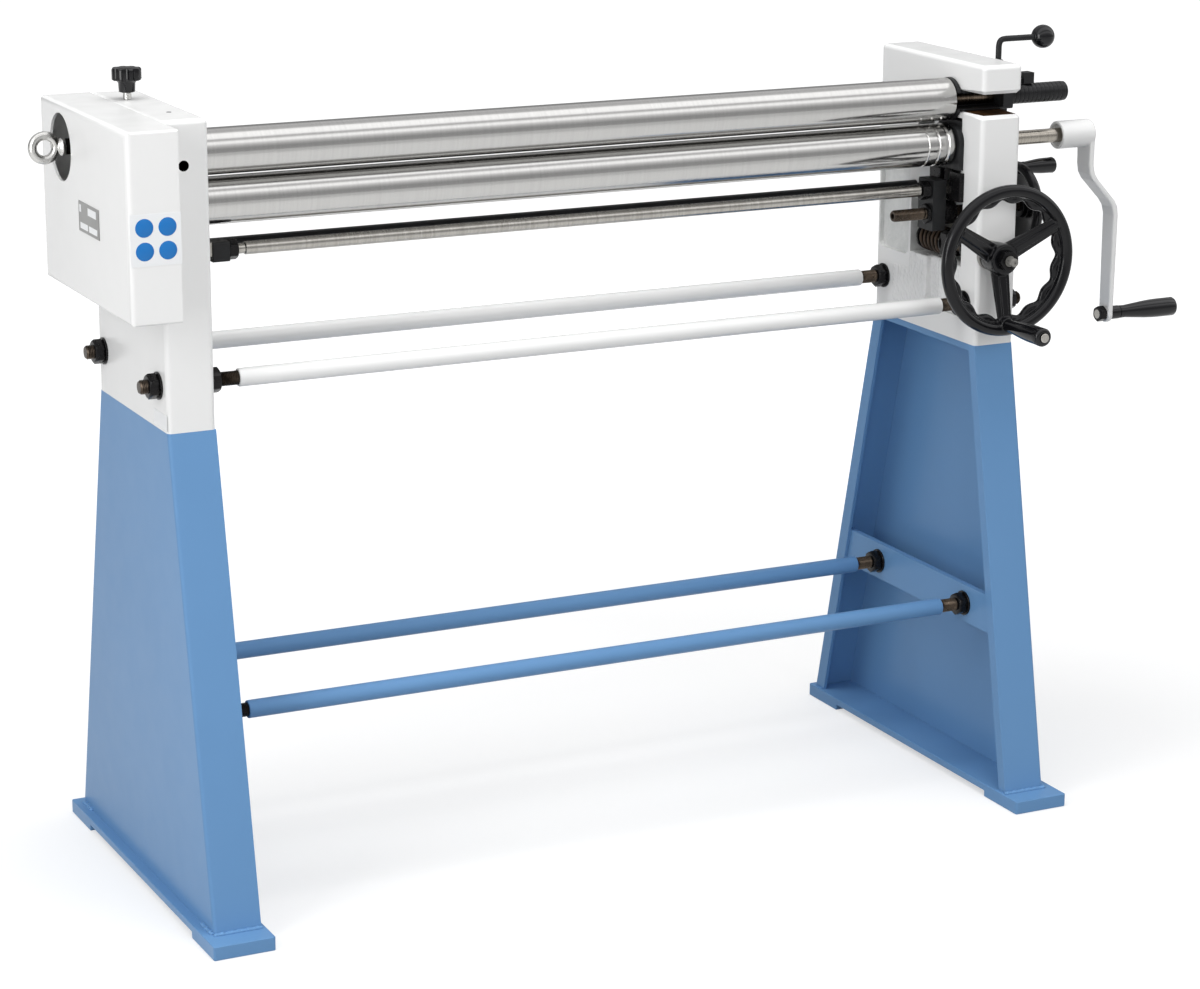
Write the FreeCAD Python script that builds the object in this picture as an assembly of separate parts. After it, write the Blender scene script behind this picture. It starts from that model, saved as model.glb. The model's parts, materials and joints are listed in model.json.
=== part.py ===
"""Hand-cranked slip roll machine: two pinch rolls, a rear bending roll, their setting gear and stand.

Frame: millimetres, X along the rolls towards the crank, -Y towards the operator, +Z up.
Shapes are drawn about the point on the floor midway between the housings.
save() then moves them so that the origin is the middle of the machine's footprint box.
"""
import FreeCAD, Part
import os
from math import acos, atan2, cos, degrees, hypot, pi, radians, sin, sqrt, tan

V = FreeCAD.Vector
X, Y, Z = V(1, 0, 0), V(0, 1, 0), V(0, 0, 1)

# ---------------------------------------------------------------- driving dimensions
roll_space = 1324.0          # between the inner faces of the two housings
housing_thick = 75.0
housing_depth = 320.0
housing_height = 463.0
stand_height = 760.0

roll_radius = 35.0
roll_end_gap = 10.0          # from a roll's barrel to the housing face
roll_gap = 4.4               # open gap between the pinch rolls at rest
roll_y = -65.0
upper_roll_down = 64.5       # from the top of the housings to the upper roll's axis
lower_lift = 3.8             # travel of the lower roll, upwards from rest
rear_roll_back, rear_roll_down = 89.0, 14.1      # rear roll's axis, from the lower roll's
rear_tilt = 20.0             # the rear guide leans forward by this many degrees
rear_up = 40.0               # travel of the rear roll along its guide
swing_angle = 6.0            # the upper roll swings out by this much

running = 0.05               # radial clearance of a shaft in its bush
sliding = 0.15               # clearance each side of a guided block
seat = 0.05                  # gap between two faces that slide on each other

# ---------------------------------------------------------------- places that follow from them
face_in = roll_space / 2
face_out = face_in + housing_thick
housing_top = stand_height + housing_height
half_depth = housing_depth / 2
upper_roll_z = housing_top - upper_roll_down
lower_roll_z = upper_roll_z - 2 * roll_radius - roll_gap
rear_roll_y, rear_roll_z = roll_y + rear_roll_back, lower_roll_z - rear_roll_down
barrel_end = face_in - roll_end_gap
tilt = radians(rear_tilt)
rear_way = V(0, -sin(tilt), cos(tilt))       # direction in which the rear roll rises
rear_side = V(0, -cos(tilt), -sin(tilt))     # square to it, towards the operator
rear_axis = V(0, rear_roll_y, rear_roll_z)

# the ends of the machine: the crank's grip on the right, the eye on the left, the feet in depth
crank_hub_gap, crank_hub_long = 134.0, 67.0      # from the housing to the crank's hub, and the hub
arm_thick, arm_step = 10.0, 56.0
crank_collar_long, crank_grip_long = 19.5, 115.0
pin_cap = 3.5
grip_play = 0.5
crank_hub_in = face_out + crank_hub_gap
crank_hub_out = crank_hub_in + crank_hub_long
arm_inner = crank_hub_out - arm_thick / 2
arm_outer = arm_inner + arm_step
crank_grip_in = arm_outer + arm_thick / 2 + crank_collar_long + grip_play
cover_deep = 78.0
eye_stand, eye_mean, eye_section = 28.0, 19.2, 5.7   # from the shaft's end to the eye's centre
cover_out = face_out + cover_deep
pull_out = cover_out - 3.0
eye_centre = -pull_out - eye_stand
leg_front_bottom, leg_rear_bottom = 303.0, 330.0
foot_front, foot_rear = leg_front_bottom + 44.0, leg_rear_bottom + 15.0
middle = V((crank_grip_in + crank_grip_long + pin_cap + eye_centre - eye_mean - eye_section) / 2,
           (foot_rear - foot_front) / 2, 0)

os.makedirs("parts", exist_ok=True)


def save(name, *solids):
    """Write one node; several solids stay separate."""
    shape = solids[0] if len(solids) == 1 else Part.makeCompound(list(solids))
    shape = shape.translated(-middle)
    assert shape.isValid(), name
    shape.exportStep(f"parts/{name}.step")
    print(f"{name:24s} {len(shape.Solids):3d} solids {shape.Volume / 1000:10.1f} cm3")


def block(x0, x1, y0, y1, z0, z1):
    """Box between two corners, given in any order along each axis."""
    low = V(min(x0, x1), min(y0, y1), min(z0, z1))
    return Part.makeBox(abs(x1 - x0), abs(y1 - y0), abs(z1 - z0), low)


def rod(start, axis, radius, length):
    return Part.makeCylinder(radius, length, start, axis)


def ring(start, axis, outer, inner, length):
    return rod(start, axis, outer, length).cut(rod(start - axis, axis, inner, length + 2))


def turned(outline, start, axis):
    """Solid of revolution from (distance along the axis, radius) points."""
    points = [V(radius, 0, along) for along, radius in outline]
    points = [V(0, 0, outline[0][0])] + points + [V(0, 0, outline[-1][0])]
    face = Part.Face(Part.makePolygon(points + [points[0]]))
    solid = face.revolve(V(0, 0, 0), Z, 360)
    return placed(solid, start, axis)


def placed(solid, start, axis):
    """Move a solid modelled along +Z so that it stands at start, along axis."""
    solid.Placement = FreeCAD.Placement(start, FreeCAD.Rotation(Z, axis))
    return solid


def hexagon(across, thick, start, axis):
    """Hexagonal prism by its width across flats."""
    corner = across / 2 / cos(pi / 6)
    points = [V(corner * cos(i * pi / 3), corner * sin(i * pi / 3), 0) for i in range(7)]
    return placed(Part.Face(Part.makePolygon(points)).extrude(V(0, 0, thick)), start, axis)


def nut(thread_radius, across, thick, start, axis):
    """Hexagon nut with both corner rims turned off."""
    body = hexagon(across, thick, start, axis)
    rim = across / 2 / cos(pi / 6) - 0.3
    bevel = rim - 0.47 * across
    turn = turned([(0, rim - bevel), (bevel / 2, rim), (thick - bevel / 2, rim), (thick, rim - bevel)],
                  start, axis)
    return body.common(turn).cut(rod(start - axis, axis, thread_radius, thick + 2))


def prism(points, thrust):
    """Extrude a closed polygon of vectors."""
    return Part.Face(Part.makePolygon(points + [points[0]])).extrude(thrust)


def edges_along(shape, axis, test=lambda centre: True):
    """Straight edges parallel to an axis whose midpoint passes a test."""
    chosen = []
    for edge in shape.Edges:
        if edge.Curve.TypeId == "Part::GeomLine":
            way = (edge.Vertexes[-1].Point - edge.Vertexes[0].Point).normalize()
            if abs(way.dot(axis)) > 0.999 and test(edge.CenterOfMass):
                chosen.append(edge)
    return chosen


def flip(shape):
    """The same piece on the other side of the machine."""
    return shape.mirror(V(0, 0, 0), X)


# ---------------------------------------------------------------- stand
foot_width = 98.0
foot_overhang = 16.5         # outwards past the leg
foot_plate = 12.0
pad_height, pad_length = 10.0, 99.0
leg_sheet = 6.0
lip_front, lip_rear = 20.0, 27.0
top_plate = 12.0
bar_height, bar_thick, bar_z = 64.0, 10.0, 312.0

foot_top = pad_height + foot_plate
foot_in = face_out + foot_overhang - foot_width
foot_out = face_out + foot_overhang


def leg_edge(front, height, inset=0.0):
    """Y of the leg's sloping front or rear edge at a height, moved inwards by inset."""
    part = (height - foot_top) / (stand_height - foot_top)
    if front:
        return -leg_front_bottom + part * (leg_front_bottom - half_depth) + inset
    return leg_rear_bottom - part * (leg_rear_bottom - half_depth) - inset


def leg_profile(x0, x1, inset_front, inset_rear):
    """Sloping-sided slab of the leg between two X values."""
    corners = [
        V(x0, leg_edge(True, foot_top, inset_front), foot_top),
        V(x0, leg_edge(False, foot_top, inset_rear), foot_top),
        V(x0, leg_edge(False, stand_height, inset_rear), stand_height),
        V(x0, leg_edge(True, stand_height, inset_front), stand_height),
    ]
    return prism(corners, V(x1 - x0, 0, 0))


def leg():
    """Folded sheet leg, open on its inner side, with its top plate welded in."""
    shell = leg_profile(face_in, face_out, 0, 0)
    shell = shell.makeFillet(leg_sheet, [e for e in shell.Edges
                                         if abs(e.CenterOfMass.x - face_out) < 0.1
                                         and abs(e.CenterOfMass.z - (stand_height + foot_top) / 2) < 30])
    hollow = leg_profile(face_in + leg_sheet, face_out - leg_sheet, leg_sheet, leg_sheet)
    mouth = leg_profile(face_in - 1, face_out - leg_sheet, lip_front, lip_rear)
    shell = shell.cut(hollow).cut(mouth)
    lid = leg_profile(face_in + leg_sheet / 2, face_out - leg_sheet / 2, leg_sheet / 2, leg_sheet / 2)
    lid = lid.common(block(face_in, face_out, -half_depth - 10, half_depth + 10,
                           stand_height - top_plate, stand_height))
    shell = shell.fuse(lid).removeSplitter()
    for y in bolt_rows:
        shell = shell.cut(rod(V(bolt_x, y, stand_height - top_plate - 1), Z, bolt_clear, top_plate + 2))
    return shell


bolt_x = face_in + 42.0
bolt_edge = 45.0             # from the casting's front and rear faces to its bolts
bolt_rows = (bolt_edge - half_depth, half_depth - bolt_edge)
bolt_clear = 7.0
bolt_radius = 6.0
bolt_reach = 22.0            # depth of a housing bolt in the casting

foot = block(foot_in, foot_out, -foot_front, foot_rear, pad_height, foot_top)
foot = foot.makeChamfer(2.0, edges_along(foot, Z))
pads = [block(foot_in, foot_out, -foot_front, -foot_front + pad_length, 0, pad_height),
        block(foot_in, foot_out, foot_rear - pad_length, foot_rear, 0, pad_height)]
pads = [pad.makeChamfer(2.0, edges_along(pad, Z, lambda c: not 5 - foot_front < c.y < foot_rear - 5))
        for pad in pads]
right_leg = leg()
for pad in pads:
    foot = foot.fuse(pad)
foot = foot.removeSplitter()
save("feet", foot, flip(foot))
save("right_leg", right_leg)
save("left_leg", flip(right_leg))

# ---------------------------------------------------------------- tie rods and cross bars
tube_radius = 14.0
stud_radius = 11.0
stud_bare = 30.0             # thread showing between nut and tube
stud_sunk = 40.0             # thread inside the tube
nut_across, nut_thick = 34.0, 15.5
washer_radius, washer_thick = 19.0, 3.0
stud_tail = 12.0             # thread past the outer nut
tie_up, tie_front, tie_rear = 66.3, 36.5, 27.0   # from the casting's bottom, front and rear faces
upper_ties = ((tie_front - half_depth, stand_height + tie_up), (half_depth - tie_rear, stand_height + tie_up))
lower_ties = ((-146.0, bar_z), (half_depth - tie_rear, bar_z))
bar_in = face_in + leg_sheet
bar_out = bar_in + bar_thick


def tie_end(y, z, wall_in, wall_out):
    """Stud, nuts and washers of one tie rod end through a wall; the tube ends inside."""
    nut_in = wall_in - washer_thick - nut_thick
    nut_out = wall_out + washer_thick
    tube_end = nut_in - stud_bare
    stud_end = nut_out + nut_thick + stud_tail
    stud_length = stud_end - tube_end + stud_sunk
    stud = turned([(0, stud_radius), (stud_length - 2, stud_radius), (stud_length, stud_radius - 2)],
                  V(tube_end - stud_sunk, y, z), X)
    nuts = [nut(stud_radius, nut_across, nut_thick, V(nut_in, y, z), X),
            nut(stud_radius, nut_across, nut_thick, V(nut_out, y, z), X)]
    washers = [ring(V(nut_in + nut_thick, y, z), X, washer_radius, stud_radius, washer_thick),
               ring(V(wall_out, y, z), X, washer_radius, stud_radius, washer_thick)]
    return stud, nuts, washers, tube_end


def tie_tube(y, z, end):
    """Tube between the studs, drilled at both ends for them."""
    tube = turned([(0, tube_radius - 2), (2, tube_radius), (2 * end - 2, tube_radius),
                   (2 * end, tube_radius - 2)], V(-end, y, z), X)
    for start, way in ((V(end, y, z), -X), (V(-end, y, z), X)):
        tube = tube.cut(rod(start, way, stud_radius, stud_sunk + 0.5))
    return tube


studs, nuts, washers = [], [], []
tubes = {}
for rows, walls, name in ((upper_ties, (face_in, face_out), "upper"), (lower_ties, (bar_in, bar_out), "lower")):
    tubes[name] = []
    for y, z in rows:
        stud, pair, discs, end = tie_end(y, z, *walls)
        studs += [stud, flip(stud)]
        nuts += pair + [flip(n) for n in pair]
        washers += discs + [flip(w) for w in discs]
        tubes[name].append(tie_tube(y, z, end))

half_bar = bar_height / 2
bar = prism([V(bar_in, leg_edge(True, bar_z - half_bar, leg_sheet), bar_z - half_bar),
             V(bar_in, leg_edge(False, bar_z - half_bar, leg_sheet), bar_z - half_bar),
             V(bar_in, leg_edge(False, bar_z + half_bar, leg_sheet), bar_z + half_bar),
             V(bar_in, leg_edge(True, bar_z + half_bar, leg_sheet), bar_z + half_bar)], V(bar_thick, 0, 0))
for y, z in lower_ties:
    bar = bar.cut(rod(V(bar_in - 1, y, z), X, stud_radius + 0.5, bar_thick + 2))
save("cross_bars", bar, flip(bar))
save("upper_tie_tubes", *tubes["upper"])
save("lower_tie_tubes", *tubes["lower"])
save("tie_studs", *studs)
save("tie_nuts", *nuts, *washers)

# ---------------------------------------------------------------- housings
corner_round = 8.0
pocket_deep = 67.0           # depth of every cored space from the inner face
front_wall, floor_wall = 50.0, 40.0
pocket_front, pocket_rear = front_wall - half_depth, rear_roll_y + 26
pocket_low, pocket_high = stand_height + floor_wall, lower_roll_z - 92.1
journal_radius = 14.0
shaft_radius = 12.0
carriage_half = 35.15        # half width of a lower bearing in its window
window_low, window_high = lower_roll_z - 81.1, upper_roll_z - 28.5
swing_slot_half = 17.3
swivel_radius = 28.0
swivel_half = 22.5
swivel_low, swivel_high = upper_roll_z - swivel_half, upper_roll_z + swivel_half
swivel_x = -(face_in + housing_thick / 2)
rear_half_wide, rear_half_long = 22.0, 24.0
rear_guide_deep = 44.0       # depth of the rear bearings' guide from the inner face
plate_gap, plate_thick = 2.0, 8.0
cavity_in = face_in + rear_guide_deep
cavity_out = face_in + pocket_deep
plate_in = cavity_in + plate_gap
plate_out = plate_in + plate_thick
plate_travel = 30.0
rock_back, rock_down = 16.0, 74.0            # rock shaft, from the rear roll's axis
rock_y, rock_z, rock_radius = rear_roll_y + rock_back, rear_roll_z - rock_down, 11.0
screw_inset, screw_down, screw_radius = 22.0, 84.0, 10.0
screw_x, screw_z = face_in + screw_inset, rock_z - screw_down
spindle_down, spindle_radius = 114.1, 10.0
spindle_z = lower_roll_z - spindle_down
pull_back, pull_radius = 129.5, 12.0
pull_y, pull_z = roll_y + pull_back, upper_roll_z
knob_x = -face_in - 47.0
plate_post_front, plate_post_rear = rear_roll_y - 15, rear_roll_y + 36
plate_low, plate_bar_high, plate_top = screw_z - 22, screw_z + 28, rear_roll_z + 54
plate_front, plate_rear = roll_y + 3, rear_roll_y + 44
knob_stud = 5.0
panel_front, panel_rear, panel_deep = pocket_rear + 6, half_depth - 10, 8.0
panel_low, panel_high = rock_z - 120, rock_z + 44


def rear_block(half_wide, below, above, x0, x1):
    """Slab along the rear guide, from below to above the rear roll's rest position."""
    low = rear_axis - rear_way * below
    high = rear_axis + rear_way * above
    corners = [low + rear_side * half_wide, high + rear_side * half_wide,
               high - rear_side * half_wide, low - rear_side * half_wide]
    for corner in corners:
        corner.x = x0
    return prism(corners, V(x1 - x0, 0, 0))


def casting():
    """Solid common to both housings, modelled on the right: cored spaces and rear guide."""
    body = block(face_in, face_out, -half_depth, half_depth, stand_height, housing_top)
    body = body.makeFillet(corner_round, edges_along(body, Z) +
                           edges_along(body, X, lambda c: c.z > housing_top - 1) +
                           edges_along(body, Y, lambda c: c.z > housing_top - 1))
    pocket = prism([V(face_in - 1, pocket_front, pocket_high), V(face_in - 1, pocket_rear, pocket_high),
                    V(face_in - 1, pocket_rear, pocket_low + 35), V(face_in - 1, pocket_rear - 35, pocket_low),
                    V(face_in - 1, pocket_front, pocket_low)], V(pocket_deep + 1, 0, 0))
    body = body.cut(pocket)
    panel = block(face_in - 1, face_in + panel_deep, panel_front, panel_rear, panel_low, panel_high)
    body = body.cut(panel.makeFillet(12.0, edges_along(panel, X)))
    body = body.fuse(rod(V(face_in + 2, rock_y, rock_z), X, rock_radius + 9, cavity_in - face_in - 2))
    body = body.cut(block(cavity_in, cavity_out, pocket_front, plate_rear + 7, plate_low - 0.1, rock_z - 21))
    body = body.cut(block(cavity_in, cavity_out, plate_post_front - plate_travel - 2, plate_post_rear + 6,
                          rock_z - 22, plate_top + 10))
    body = body.cut(rear_block(rear_half_wide + sliding, rear_half_long + 2, rear_up + rear_half_long + 2,
                               face_in - 1, cavity_in + 1))
    body = body.cut(rod(V(face_in - 1, rock_y, rock_z), X, rock_radius + running, pocket_deep + 1))
    body = body.cut(block(face_in - 1, cavity_out, roll_y - carriage_half - sliding,
                          roll_y + carriage_half + sliding, window_low, window_high))
    for y, z in upper_ties:
        body = body.cut(rod(V(face_in - 1, y, z), X, stud_radius + 0.5, housing_thick + 2))
        body = body.fuse(ring(V(face_in, y, z), X, 24.0, stud_radius + 0.5, housing_thick))
    for y in bolt_rows:
        body = body.cut(rod(V(bolt_x, y, stand_height - 1), Z, bolt_radius, bolt_reach + 3))
    return body


right_housing = casting()
right_housing = right_housing.cut(block(face_in - 1, face_out + 1, -half_depth - 1, roll_y + swing_slot_half + 1,
                                        upper_roll_z - swing_slot_half, upper_roll_z + swing_slot_half))
right_housing = right_housing.cut(rod(V(cavity_out - 1, roll_y, lower_roll_z), X, shaft_radius + 2, 20))
right_housing = right_housing.cut(rod(V(cavity_out - 1, roll_y, lower_roll_z + lower_lift), X, shaft_radius + 2, 20))
right_housing = right_housing.cut(block(cavity_out - 1, face_out + 1, roll_y - shaft_radius - 2,
                                        roll_y + shaft_radius + 2, lower_roll_z, lower_roll_z + lower_lift))
spindle_bush_radius = 17.0
right_housing = right_housing.cut(rod(V(cavity_out - 1, roll_y, spindle_z), X, spindle_bush_radius, 20))
screw_bush_radius = 15.0
screw_tail = 7.0
right_housing = right_housing.cut(rod(V(screw_x, -half_depth - 1, screw_z), Y, screw_bush_radius,
                                      half_depth + pocket_front + 2))
right_housing = right_housing.cut(rod(V(screw_x, pocket_rear - 1, screw_z), Y, screw_tail + running, 16))

left_housing = flip(casting())
left_housing = left_housing.cut(block(-face_out - 1, -cavity_out + 1, roll_y - carriage_half - sliding,
                                      roll_y + carriage_half + sliding, window_low, window_high))
left_housing = left_housing.cut(block(-face_out - 1, -face_in + 1, roll_y - swivel_radius - 6,
                                      roll_y + swivel_radius + 6, swivel_low, swivel_high))
pin_radius, pin_reach = 7.0, 5.0
left_housing = left_housing.cut(rod(V(swivel_x, roll_y, swivel_low - pin_reach), Z, pin_radius,
                                    swivel_high - swivel_low + 2 * pin_reach + 20))
left_housing = left_housing.cut(rod(V(-face_out - 1, pull_y, pull_z), X, pull_radius + running, 70))
left_housing = left_housing.cut(rod(V(knob_x, pull_y, pull_z), Z, knob_stud + 0.1, housing_top - pull_z + 1))
left_housing = left_housing.cut(rod(V(-face_in - 32, roll_y - 16, housing_top - 14), Z, 4.0, 20))
left_housing = left_housing.cut(rod(V(-face_in - 39, -half_depth - 1, upper_roll_z - 2.5), Y, 8.0, 26))

cover_reach, cover_overhang, cover_tall = 83.0, 3.0, 279.0   # in front of and behind the casting, height
cover_front, cover_rear, cover_low = -half_depth - cover_reach, half_depth + cover_overhang, housing_top - cover_tall
tab_y, tab_low, tab_high = half_depth - 20, cover_low + 31, housing_top - 28
tab_places = ((tab_y, tab_low), (-tab_y, tab_low), (tab_y, tab_high), (-tab_y, tab_high))
tab_half, tab_thick, tab_screw = 14.0, 4.0, 4.0
for y, z in tab_places:
    left_housing = left_housing.cut(rod(V(-face_out - 1, y, z), X, tab_screw, 13))
save("right_housing", right_housing)
save("left_housing", left_housing)

bolts = []
for y in bolt_rows:
    head = hexagon(19.0, 8.0, V(bolt_x, y, stand_height - top_plate - 8), Z)
    shank = rod(V(bolt_x, y, stand_height - top_plate), Z, bolt_radius, top_plate + bolt_reach)
    bolts.append(head.fuse(shank))
tab_screws = []
for y, z in tab_places:
    screw = turned([(-face_out - tab_thick - 5, 6.5), (-face_out - tab_thick, 6.5),
                    (-face_out - tab_thick, tab_screw), (-face_out + 11.5, tab_screw)], V(0, y, z), X)
    tab_screws.append(screw)
save("housing_screws", *bolts, *[flip(bolt) for bolt in bolts], *tab_screws)

# ---------------------------------------------------------------- lower roll, its bearings and lifting gear
flange_half = 43.0
flange_top, flange_low = 34.0, 39.0
flange_out = face_in - seat
flange_thick = 8.3
bush_wall = 4.0
slope = 0.25                 # rise of the lifting wedges
wedge_travel = lower_lift / slope
wedge_mid_z = lower_roll_z - 56.1
wedge_half = 14.0
toe_in, toe_long = 14.0, 36.0
foot_near, foot_far = face_in + toe_in, face_in + toe_in + toe_long


def wedge_height(x):
    """Height of the wedge's top at rest; x counts from the middle of its own housing."""
    return wedge_mid_z + slope * x


def lower_bearing(side):
    """Bearing block that slides up its window; its sloping foot rests on the wedge."""
    x_in, x_out = face_in - seat, cavity_out - 0.5
    plate = block(flange_out - flange_thick, flange_out, roll_y - flange_half, roll_y + flange_half,
                  lower_roll_z - flange_low, lower_roll_z + flange_top)
    plate = plate.makeFillet(28.0, edges_along(plate, X, lambda c: c.z > lower_roll_z))
    body = block(x_in - 1, x_out, roll_y - carriage_half, roll_y + carriage_half,
                 lower_roll_z - flange_low, window_high - lower_lift - 1)
    body = plate.fuse(body)
    mid = face_in + housing_thick / 2
    low_near = wedge_height(side * (foot_near - mid)) + seat
    low_far = wedge_height(side * (foot_far - mid)) + seat
    toe = [V(foot_near, roll_y - wedge_half, low_near), V(foot_far, roll_y - wedge_half, low_far),
           V(foot_far, roll_y - wedge_half, lower_roll_z - 30), V(foot_near, roll_y - wedge_half, lower_roll_z - 30)]
    body = body.fuse(prism(toe, V(0, 2 * wedge_half, 0)))
    bore = journal_radius + running + bush_wall
    return body.cut(rod(V(face_in - 20, roll_y, lower_roll_z), X, bore, 100))


def bush(x0, x1, y, z, inner, outer):
    return ring(V(x0, y, z), X, outer, inner, x1 - x0)


right_bearing = lower_bearing(1)
left_bearing = flip(lower_bearing(-1))
save("lower_bearings", right_bearing, left_bearing)
lower_bush = bush(flange_out - flange_thick, cavity_out - 0.5, roll_y, lower_roll_z,
                  journal_radius + running, journal_radius + running + bush_wall)
save("lower_bushes", lower_bush, flip(lower_bush))

gear_gap, gear_wide = 5.0, 20.0
gear_in = face_out + gear_gap
shaft_left_end = gear_in + gear_wide + 14.0
key_wide, key_deep = 8.0, 4.0
barrel_bevel = 2.0
groove_places = ((barrel_end - 52.0, 3.0), (barrel_end - 32.0, 4.0), (barrel_end - 14.0, 5.0))
lower_roll = turned([(-shaft_left_end, shaft_radius - 1), (-shaft_left_end + 1, shaft_radius),
                     (-face_out, shaft_radius), (-face_out, journal_radius), (-barrel_end, journal_radius),
                     (-barrel_end, roll_radius - barrel_bevel), (-barrel_end + barrel_bevel, roll_radius),
                     (barrel_end - barrel_bevel, roll_radius), (barrel_end, roll_radius - barrel_bevel),
                     (barrel_end, journal_radius), (face_out - 9, journal_radius), (face_out - 9, shaft_radius),
                     (crank_hub_out - 1, shaft_radius), (crank_hub_out, shaft_radius - 1)],
                    V(0, roll_y, lower_roll_z), X)
for x, radius in groove_places:
    lower_roll = lower_roll.cut(Part.makeTorus(roll_radius, radius, V(x, roll_y, lower_roll_z), X))
gear_key = block(-gear_in - gear_wide, -gear_in, roll_y - key_wide / 2, roll_y + key_wide / 2,
                 lower_roll_z - shaft_radius - key_deep / 2, lower_roll_z - shaft_radius + key_deep / 2)
crank_key = block(crank_hub_in + 8, crank_hub_out, roll_y - key_wide / 2, roll_y + key_wide / 2,
                  lower_roll_z + shaft_radius - key_deep / 2, lower_roll_z + shaft_radius + key_deep / 2)
lower_roll = lower_roll.cut(gear_key).cut(crank_key)
save("lower_roll", lower_roll)
save("shaft_keys", gear_key, crank_key)

gear_teeth, gear_module = 20, 3.5
tooth_thin = 0.2
tip_radius, root_radius = 39.4, 30.6


def gear_blank(turn, start, bore):
    """Spur gear on the X axis: involute flanks, long teeth for the changing centre distance."""
    pitch = gear_module * gear_teeth / 2
    pressure = radians(20)
    base = pitch * cos(pressure)
    half_angle = pi / 2 / gear_teeth + tan(pressure) - pressure - tooth_thin / 2 / pitch
    flank = []
    steps = 5
    for i in range(steps + 1):
        radius = base + 0.02 + (tip_radius - base - 0.02) * i / steps
        roll = acos(base / radius)
        flank.append((radius, half_angle - (tan(roll) - roll)))
    outline = []
    for tooth in range(gear_teeth):
        middle = radians(turn) + 2 * pi * tooth / gear_teeth
        side = [(root_radius, half_angle)] + flank
        for radius, angle in side:
            outline.append(V(0, radius * cos(middle - angle), radius * sin(middle - angle)))
        for radius, angle in reversed(side):
            outline.append(V(0, radius * cos(middle + angle), radius * sin(middle + angle)))
    solid = prism(outline, V(gear_wide, 0, 0))
    solid.translate(start)
    return solid.cut(rod(start - X, X, bore, gear_wide + 2))


gear_left = -gear_in - gear_wide
lower_gear = gear_blank(90, V(gear_left, roll_y, lower_roll_z), shaft_radius)
lower_gear = lower_gear.cut(gear_key)
save("lower_gear", lower_gear)

rod_y, rod_z, rod_radius = roll_y, window_low + 6.2, 10.0
rod_thread = 8.0
bridge_gap, bridge_thick = 15.0, 25.0            # from the housing's inner face, and its own
block_gap, block_thick = 30.0, 27.0
bridge_in, bridge_out = face_in - bridge_gap - bridge_thick, face_in - bridge_gap
left_block_in, left_block_out = -(face_in - block_gap - block_thick), -(face_in - block_gap)
rod_nut_long = 15.5
lift_rod = turned([(left_block_out, rod_thread), (left_block_in + 27, rod_thread), (left_block_in + 29, rod_radius),
                   (bridge_in - rod_nut_long - 2.5, rod_radius), (bridge_in - rod_nut_long - 0.5, rod_thread),
                   (bridge_out - 2, rod_thread)], V(0, rod_y, rod_z), X)
save("lift_rod", lift_rod)
spindle_nut = nut(spindle_radius, 30.0, 6.5, V(bridge_in - 6.5, roll_y, spindle_z), X)
save("rod_nuts", nut(rod_thread, 28.0, 15.0, V(left_block_in + 0.5, rod_y, rod_z), X),
     nut(rod_thread, 28.0, rod_nut_long, V(bridge_in - rod_nut_long - 0.5, rod_y, rod_z), X), spindle_nut)
bridge = block(bridge_in, bridge_out, roll_y - 17, roll_y + 30, spindle_z - 28, rod_z + 17.8)
bridge = bridge.makeChamfer(1.5, edges_along(bridge, X))
bridge = bridge.cut(rod(V(bridge_in - 1, rod_y, rod_z), X, rod_thread, bridge_out - bridge_in))
bridge = bridge.cut(rod(V(bridge_in - 1, roll_y, spindle_z), X, spindle_radius + running, 40))
left_block = block(left_block_out, left_block_in, roll_y - 17, roll_y + 17, rod_z - 15.2, rod_z + 14.8)
left_block = left_block.makeChamfer(1.5, edges_along(left_block, X))
left_block = left_block.cut(rod(V(left_block_out - 1, rod_y, rod_z), X, rod_thread, 40))
save("lift_blocks", bridge, left_block)

mid = face_in + housing_thick / 2


def wedge(x0, x1, centre, cap):
    """Sloping bar; its top is cut level at cap where no bearing reaches it."""
    low = window_low + seat
    reach = min(max(centre + (cap - wedge_mid_z) / slope, x0), x1)
    top = [V(x0, 0, wedge_height(x0 - centre)), V(reach, 0, min(cap, wedge_height(reach - centre))), V(x1, 0, cap)]
    if reach in (x0, x1):
        top = [V(x0, 0, min(cap, wedge_height(x0 - centre))), V(x1, 0, min(cap, wedge_height(x1 - centre)))]
    corners = [V(x0, 0, low)] + top + [V(x1, 0, low)]
    solid = prism(corners, V(0, 2 * wedge_half, 0))
    solid.translate(V(0, roll_y - wedge_half, 0))
    return solid


wedge_cap = wedge_mid_z + 72
right_wedge = wedge(bridge_out, foot_far + wedge_travel + 0.2, mid, wedge_cap)
left_wedge = wedge(-foot_far - 0.3, -foot_near + wedge_travel + 1.5, -mid, wedge_cap)
left_neck = block(-foot_near + wedge_travel + 1.5, left_block_out, roll_y - wedge_half, roll_y + wedge_half,
                  window_low + seat, rod_z + 14.8)
save("lift_wedges", right_wedge, left_wedge.fuse(left_neck).removeSplitter())

guide_low, guide_high, guide_front = window_low - 10, window_low + 38, roll_y - 47
guide = block(face_in - 8.5, face_in, guide_front, 2 * roll_y - guide_front, guide_low, guide_high)
guide = guide.cut(block(face_in - 9, face_in + 1, roll_y - wedge_half - sliding, roll_y + wedge_half + sliding,
                        window_low, guide_high + 1))
save("wedge_guides", guide, flip(guide))

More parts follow.
